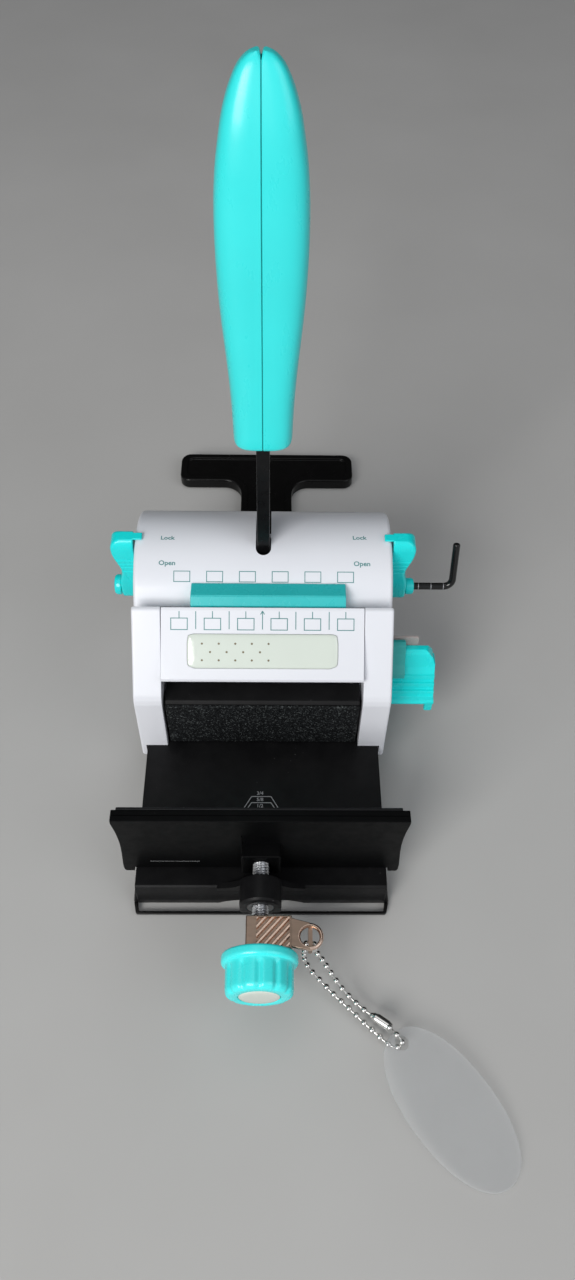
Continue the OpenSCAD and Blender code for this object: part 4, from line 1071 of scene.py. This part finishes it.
def make_grip():
    n, seam, rings = 34, 0.11, []
    for s, w in GRIP:
        f, b = grip_front(s), grip_back(s)
        mid, half = (f + b) / 2, (b - f) / 2
        notch = seam + 0.55 * max(0, (s - 120.4) / 2.2) ** 2
        soft = 0.5 + 1.2 * max(0, (s - 119) / 3.6)
        ring = [(notch, mid - half + soft), (notch + 0.03, mid - half + soft * 0.45), (notch + soft * 0.3, mid - half + soft * 0.1)]
        for k in range(1, n):
            ph = math.radians(-90 + 180 * k / n)
            x = w * abs(math.cos(ph)) ** (2 / 3.6)
            a = mid + half * math.copysign(abs(math.sin(ph)) ** (2 / 3.6), math.sin(ph))
            ring.append((max(x, notch + soft * 0.35), a))
        ring += [(notch + soft * 0.3, mid + half - soft * 0.1), (notch + 0.03, mid + half - soft * 0.45), (notch, mid + half - soft)]
        rings.append([(x, a, GRIP_AT + s) for x, a in ring])
    r = loft("grip_shell_right", rings, True)
    pocket = prism("t", [(-12.35, 74.7), (-12.35, 84.2), (-9.1, 90.2), (-5.1, 186.4), (-2, 190.4), (2.1, 186.4), (5.1, 90.2), (6.2, 82), (6.2, 74.7)], "x", -1, 2.45)
    boolean(r, pocket)
    left = mirror_x(r, "grip_shell_left")
    for s in (96, 136, 172):
        boolean(left, cyl("t", "x", (0, -1.5, s), 3.0, -20, -6, 32))
        boolean(left, cyl("t", "x", (0, -1.5, s), 1.55, -8, 0, 24))
        boolean(r, cyl("t", "x", (0, -1.5, s), 1.55, -1, 8.3, 24))
    # tongues that close the seam from inside, in darker teal: painted shade in the seam
    tongues = []
    for fn, sgn in ((grip_front, 1), (grip_back, -1)):
        rr = []
        for s in (0.6, 3, 20, 60, 84, 94, 104, 112, 118, 120.6):
            a = fn(s) + sgn * 0.75
            a2 = a + sgn * 1.1
            rr.append([(-0.9, a, GRIP_AT + s), (0.7, a, GRIP_AT + s), (0.7, a2, GRIP_AT + s), (-0.9, a2, GRIP_AT + s)])
        tongues.append(loft("t", rr, True))
    tongue = join("grip_tongue", tongues)
    fix_normals(tongue)
    for o in (r, left, tongue):
        lean(o)
    for o in (r, left):
        smooth(o, 32)
    piece(r, "lever", TEAL, "teal_plastic", "grip_right")
    piece(left, "lever", TEAL, "teal_plastic", "grip_left")
    piece(tongue, "lever", TEAL_SEAM_SHADE, "teal_plastic")
    heads = []
    for s in (96, 136, 172):
        h = lathe("t", [(-8.4, 0), (-8.4, 2.5), (-8.2, 2.8), (-7.8, 2.9), (-6, 2.9), (-6, 1.5), (8, 1.5), (8, 0)], "x", (0, -1.5, s), 40, False)
        for a in (0, 90):
            c = block("t", -9, -7.4, -1.9, 1.9, -0.35, 0.35)
            c.data.transform(Matrix.Translation(Vector((0, -1.5, s)) * MM) @ Matrix.Rotation(math.radians(a), 4, "X"))
            boolean(h, c)
        heads.append(h)
    h = join("grip_screw_set", heads)
    lean(h)
    smooth(h, 35)
    piece(h, "lever", STEEL, "steel", "grip_screws")


make_grip()


def make_lever():
    bar = prism("t", [(-8.6, 2), (-10.4, 16), (-10.4, 30), (-12.2, 38), (-12.2, 84), (-9, 90), (-5, 186), (-2, 190), (2, 186), (5, 90), (6, 82), (6, 14), (8.6, 2)], "x", -2.4, 2.4)
    bevel(bar, 0.4, 3, lambda c, e: abs(abs(c.x) - 2.4) < 0.01, 40)
    bar.data.transform(Matrix.Rotation(math.radians(-8), 4, "X"))
    rb = 10.577

    def cam(a):
        h = 5.2 + rb * math.radians(a)
        return (-h * math.cos(math.radians(a)) + rb * math.sin(math.radians(a)), -h * math.sin(math.radians(a)) - rb * math.cos(math.radians(a)))
    c = prism("t", [cam(a) for a in range(-6, 70, 3)] + [(5.4, -18.6), (8.4, -8), (8.7, 0), (0, 6), (-8.6, 0), (-8.4, -3)], "x", -2.4, 2.4)
    bevel(c, 0.3, 2, lambda q, e: abs(abs(q.x) - 2.4) < 0.01, 40)
    hub = lathe("t", [(-2.4, 5.03), (-2.4, 8.4), (-2.0, 8.8), (2.0, 8.8), (2.4, 8.4), (2.4, 5.03)], "x", (0, 0, 0), 64, True)
    boolean(bar, c, "UNION")
    boolean(bar, cyl("t", "x", (0, 0, 0), 8.7, -2.39, 2.39, 64), "UNION")
    boolean(bar, cyl("t", "x", (0, 0, 0), 5.03, -5, 5, 64))
    bpy.data.objects.remove(hub)
    for s in (96, 136, 172):
        m = cyl("t", "x", (0, -1.5, s), 1.6, -5, 5, 24)
        m.data.transform(Matrix.Rotation(math.radians(-8), 4, "X"))
        boolean(bar, m)
    bar.data.transform(Matrix.Translation(Vector((0, AX_Y, AX_Z)) * MM))
    bar.name = "lever_plate"
    smooth(bar, 32)
    piece(bar, "lever", BLACK_LEVER, "black_paint", "lever_arm")


make_lever()


def make_lock(right):
    outer = [(-5, 57.2), (-4.6, 58.0), (-3.6, 58.7), (-2, 59.0), (5, 59.0), (8, 58.7), (10.5, 57.9), (12.5, 57.5), (14.5, 57.6), (16.5, 58.0), (18.5, 58.6), (20.5, 59.2), (22.5, 59.8), (25, 60.3), (27.5, 60.4), (29, 60.1), (30.2, 59.5), (31.2, 58.5), (31.8, 57.3), (32.0, 56.4)]
    half = [(-5, 0.6), (-4.6, 1.9), (-3.6, 3.4), (-2, 4.55), (0, 4.95), (5, 4.75), (10, 4.4), (16, 4.25), (22, 4.35), (28, 4.0), (29.4, 3.75), (30.6, 3.3), (31.4, 2.7), (32.0, 1.9)]
    hs = sorted({z for z, _ in outer} | {z for z, _ in half} | {z + d for z in (14.4, 17.0, 19.2, 21.5) for d in (-0.45, -0.15, 0.15, 0.45)})
    rings = []
    for z in hs:
        xo, h = lerp(outer, z), lerp(half, z)
        g = 0.0
        for zc in (14.4, 17.0, 19.2, 21.5):
            if abs(z - zc) < 0.2:
                g = 0.5
        xo -= g * 0.6
        end = 1.2 if -4 < z < 31.5 else 0.8
        pts = rounded([(51.2, -h + g, 0.5), (xo, -h + g, end), (xo, h - g, end), (51.2, h - g, 0.5)], 1, 5)
        rings.append([(x, y, z) for x, y in pts])
    body = loft("lock_lever_body", rings, True)
    hook = prism("t", rounded([(47.6, 31.15, 0.3), (52.6, 31.15, 0), (52.6, 32.0, 0), (47.6, 32.0, 0.5)], 0.5, 5), "y", -1.6, 1.6)
    bevel(hook, 0.25, 3, lambda c, e: abs(abs(c.y) - 1.6) < 0.02 and c.x < 52, 30)
    boolean(body, hook, "UNION")
    boolean(body, cyl("t", "x", (0, 0, 0), 2.95, 50, 58.65, 48))
    boolean(body, cyl("t", "x", (0, 0, 0), 2.35, 50, 62, 48))
    body.data.transform(Matrix.Translation(Vector((0, AX_Y, AX_Z)) * MM) @ Matrix.Rotation(math.radians(3.2), 4, "X"))
    if not right:
        o = mirror_x(body, "lock_lever_body_left")
        bpy.data.objects.remove(body)
        body = o
    smooth(body, 34)
    side = "right" if right else "left"
    piece(body, "lock_" + side, TEAL_LOCK, "teal_plastic", "lock_lever_" + side)
    inner = 1.55 if right else 0
    if right:
        prof = [(54.2, inner), (54.2, 2.0), (54.4, 2.2), (59.3, 2.2), (59.3, 3.2), (59.6, 3.5), (61.7, 3.5), (62.5, 3.1), (62.8, 2.4), (62.8, 1.75), (62.6, 1.55)]
    else:
        prof = [(54.2, 0), (54.2, 2.0), (54.4, 2.2), (59.3, 2.2), (59.3, 4.0), (59.6, 4.3), (61.2, 4.3), (62.0, 3.8), (62.3, 2.9), (62.3, 0)]
    s = 1 if right else -1
    c = lathe("collet_body" if right else "plug_body", [(s * h, r) for h, r in prof], "x", (0, AX_Y, AX_Z), 48, right)
    smooth(c, 35)
    piece(c, "collet" if right else "machine", TEAL_LOCK, "teal_plastic", "rod_collet" if right else "shaft_plug")


make_lock(True)
make_lock(False)


def make_edge_rod():
    pts = [(24, 0, 0), (24.4, 0, 0)] + [(24.4 + (75.5 - 24.4) * k / 12, 0, 0) for k in range(1, 13)]
    pts += [(75.5 + 3.5 * math.sin(math.radians(a)), 0, 3.5 - 3.5 * math.cos(math.radians(a))) for a in range(6, 91, 6)]
    pts += [(79, 0, 3.5 + 16.1 * k / 6) for k in range(1, 7)] + [(79, 0, 20)]
    rr = [1.2] + [1.5] * (len(pts) - 2) + [1.2]
    rod = tube("edge_rod_body", pts, rr, 28)
    m = Matrix.Translation(Vector((0, AX_Y, AX_Z)) * MM) @ Matrix.Rotation(math.radians(-20), 4, "X")
    rod.data.transform(m)
    smooth(rod, 50)
    piece(rod, "guide_rod", BLACK_ROD, "black_gloss", "edge_guide_rod")
    rings = join("edge_rod_rings", [lathe("t", [(-0.16, 1.4), (-0.16, 1.515), (0.16, 1.515), (0.16, 1.4)], "x", (x, 0, 0), 36, True) for x in (64.8, 70.1, 75.3)])
    rings.data.transform(m)
    smooth(rings, 30, False)
    piece(rings, "guide_rod", STEEL, "black_gloss")


make_edge_rod()

# ---- platen
def make_platen():
    p = prism("platen_body", rounded([(-50.8, 16.2, 0.2), (-50.8, 42.8, 0.4), (-49.8, 44, 0.8), (-41, 44, 0.6), (-41, 16.2, 0.4)], 0.3, 4), "x", -38, 38)
    bevel(p, 0.35, 2, lambda c, e: abs(c.x) > 37.9, 40)
    for x in (-33, 33):
        boolean(p, cyl("t", "y", (x, 0, 38), 4, -46, -40, 40))
    smooth(p, 32)
    piece(p, "ram", PLATEN, "black_plastic", "platen")
    pad = block("grit_sheet", -38, 38, -52, -50.8, 16.4, 42.6)
    bevel(pad, 0.3, 3, None, 40)
    smooth(pad, 32)
    piece(pad, "ram", GRIT, "grit_pad", "platen_pad")


make_platen()

# ---- chip tray
def make_tray():
    box = block("tray_bin", -38, 50.6, -39.4, -21.4, 17, 31)
    bevel(box, 0.7, 3, lambda c, e: not (c.x > 50.5), 40)
    boolean(box, block("t", -36.6, 49, -38, -22.8, 18.4, 40))
    smooth(box, 32)
    piece(box, "tray", WHITE, "white_plastic", "chip_tray")
    g = prism("tray_grip_body", rounded([(-22.2, 43.8, 0.5), (-24.6, 44.2, 0.8), (-26.4, 43, 1.2), (-27.2, 40.4, 3), (-28.4, 37, 4), (-30.4, 34.4, 1), (-31.2, 34.6, 0.3), (-31.8, 31.6, 0.35), (-33.2, 31.8, 0.3),
                                         (-33.8, 28.9, 0.35), (-35.2, 29.1, 0.3), (-35.8, 26.4, 0.35), (-37.4, 26.2, 0.4), (-38.8, 25.4, 0.5), (-38.4, 24.2, 0.5), (-34.6, 19.8, 0.6), (-33.6, 20.4, 0.5), (-22.2, 36, 0.5)], 0.4, 5), "x", 50.6, 70.6)
    bevel(g, 0.5, 3, lambda c, e: c.x > 70.5, 30)
    hook = block("t", 67.0, 70.3, -38.8, -36.6, 19.9, 25.6)
    bevel(hook, 0.5, 3, lambda c, e: c.z < 25, 40)
    boolean(g, hook, "UNION")
    # the outer corner is rounded off above the steps
    boolean(g, prism("t", [(71, 45), (71, 38.2), (70.2, 38.2), (69.4, 41.2), (67.6, 43.4), (65.0, 44.6), (65, 46), (71, 46)], "y", -28, -20))
    smooth(g, 32)
    piece(g, "tray", TEAL_LOCK, "teal_plastic", "tray_grip")
    f = prism("tray_flap_sheet", rounded([(50.6, 24, 0.4), (63.3, 24, 1.2), (63.3, 48.6, 1.2), (50.6, 48.6, 0.4)], 1, 6), "y", -22.1, -20.9)
    bevel(f, 0.25, 2, lambda c, e: abs(c.y + 22.1) < 0.02 or abs(c.y + 20.9) < 0.02, 40)
    smooth(f, 32)
    piece(f, "tray", CLEAR_FLAP_PAINTED_REFLECTION, "clear_acrylic", "tray_flap")
    c = prism("tray_catch_body", rounded([(-24.2, 46.4, 0.4), (-25.8, 47, 0.7), (-27.4, 46.4, 0.6), (-28.8, 43, 3), (-31.4, 38.8, 3), (-34.6, 36.4, 0.8), (-35.2, 34.4, 0.5), (-33.4, 33.4, 0.5), (-31.2, 35.6, 2), (-29, 38.4, 3),
                                          (-27.8, 41.6, 3), (-26.9, 44, 1), (-25.2, 45.1, 0.5), (-24.2, 45, 0.3)], 0.5, 5), "x", 50.2, 57.6)
    bevel(c, 0.4, 3, lambda q, e: q.x > 57.5, 30)
    c.data.transform(Matrix.Translation(Vector((0, 1.4, 1.8)) * MM))
    smooth(c, 32)
    # the catch takes the darker teal: painted shade from the body's shadow
    piece(c, "machine", TEAL_CATCH_SHADED, "dark_teal_plastic", "tray_catch")


make_tray()

# ---- printed size marks on the bed
def make_bed_marks():
    z = BH
    L = []

    def bar(a, b, w):
        (x0, y0), (x1, y1) = a, b
        d = Vector((x1 - x0, y1 - y0)).normalized()
        n = Vector((-d.y, d.x)) * w / 2
        c = [(x0 - n.x, y0 - n.y), (x0 + n.x, y0 + n.y), (x1 + n.x, y1 + n.y), (x1 - n.x, y1 - n.y)]
        v = [(x, y, z - 0.05) for x, y in c] + [(x, y, z + 0.03) for x, y in c]
        return v, [[0, 1, 2, 3], [7, 6, 5, 4], [0, 4, 5, 1], [1, 5, 6, 2], [2, 6, 7, 3], [3, 7, 4, 0]]
    for xt, yt, xb, yb in ((3.85, -76.7, 9.6, -86.6), (3.85, -79.4, 8.5, -86.9), (3.85, -82.4, 7.3, -87.4), (3.85, -85.4, 6.0, -88.2)):
        L += [bar((-xt - 0.4, yt), (xt - 0.4, yt), 0.3), bar((-xt - 0.4, yt), (-xb - 0.4, yb), 0.3), bar((xt - 0.4, yt), (xb - 0.4, yb), 0.3)]
    m = merged("bed_size_lines", L)
    piece(m, "machine", INK_WHITE, "black_paint")
    texts = []
    for s, y in (("3/4", -75.3), ("5/8", -78.05), ("1/2", -80.8), ("3/8", -83.9)):
        me = text_mesh(s, 2.1)
        for v in me.vertices:
            v.co = Vector((-0.9 + v.co.x, y + v.co.y, z + (0.035 if v.co.z > 0 else -0.05))) * MM
        o = bpy.data.objects.new("t", me)
        scene.collection.objects.link(o)
        texts.append(o)
    t = join("bed_size_numbers", texts)
    piece(t, "machine", INK_WHITE, "black_paint")


make_bed_marks()

# ---- rounded copies of the parts inside and below
for node_name, body_name, mat_, slot_, w_ in (
        ("foot_pads", "machine", RUBBER, "rubber", 0.2), ("side_frame_left", "machine", BLACK_PAINT, "black_paint", 0.25), ("side_frame_right", "machine", BLACK_PAINT, "black_paint", 0.25),
        ("guide_plate", "machine", STEEL, "steel", 0.2), ("ram_plate", "ram", STEEL, "steel", 0.25), ("main_shaft", "machine", STEEL, "steel", 0.25),
        ("rod_bearings", "machine", BLACK_PLASTIC, "black_plastic", 0.3), ("ram_rods", "ram", STEEL, "steel", 0.3), ("cover_screws", "machine", STEEL, "steel", 0.2),
        ("base_screws", "machine", STEEL, "steel", 0.2), ("hub_collars", "machine", STEEL, "steel", 0.2)):
    o = copy_of(node_name, node_name + "_body", w_)
    piece(o, body_name, mat_, slot_, node_name)
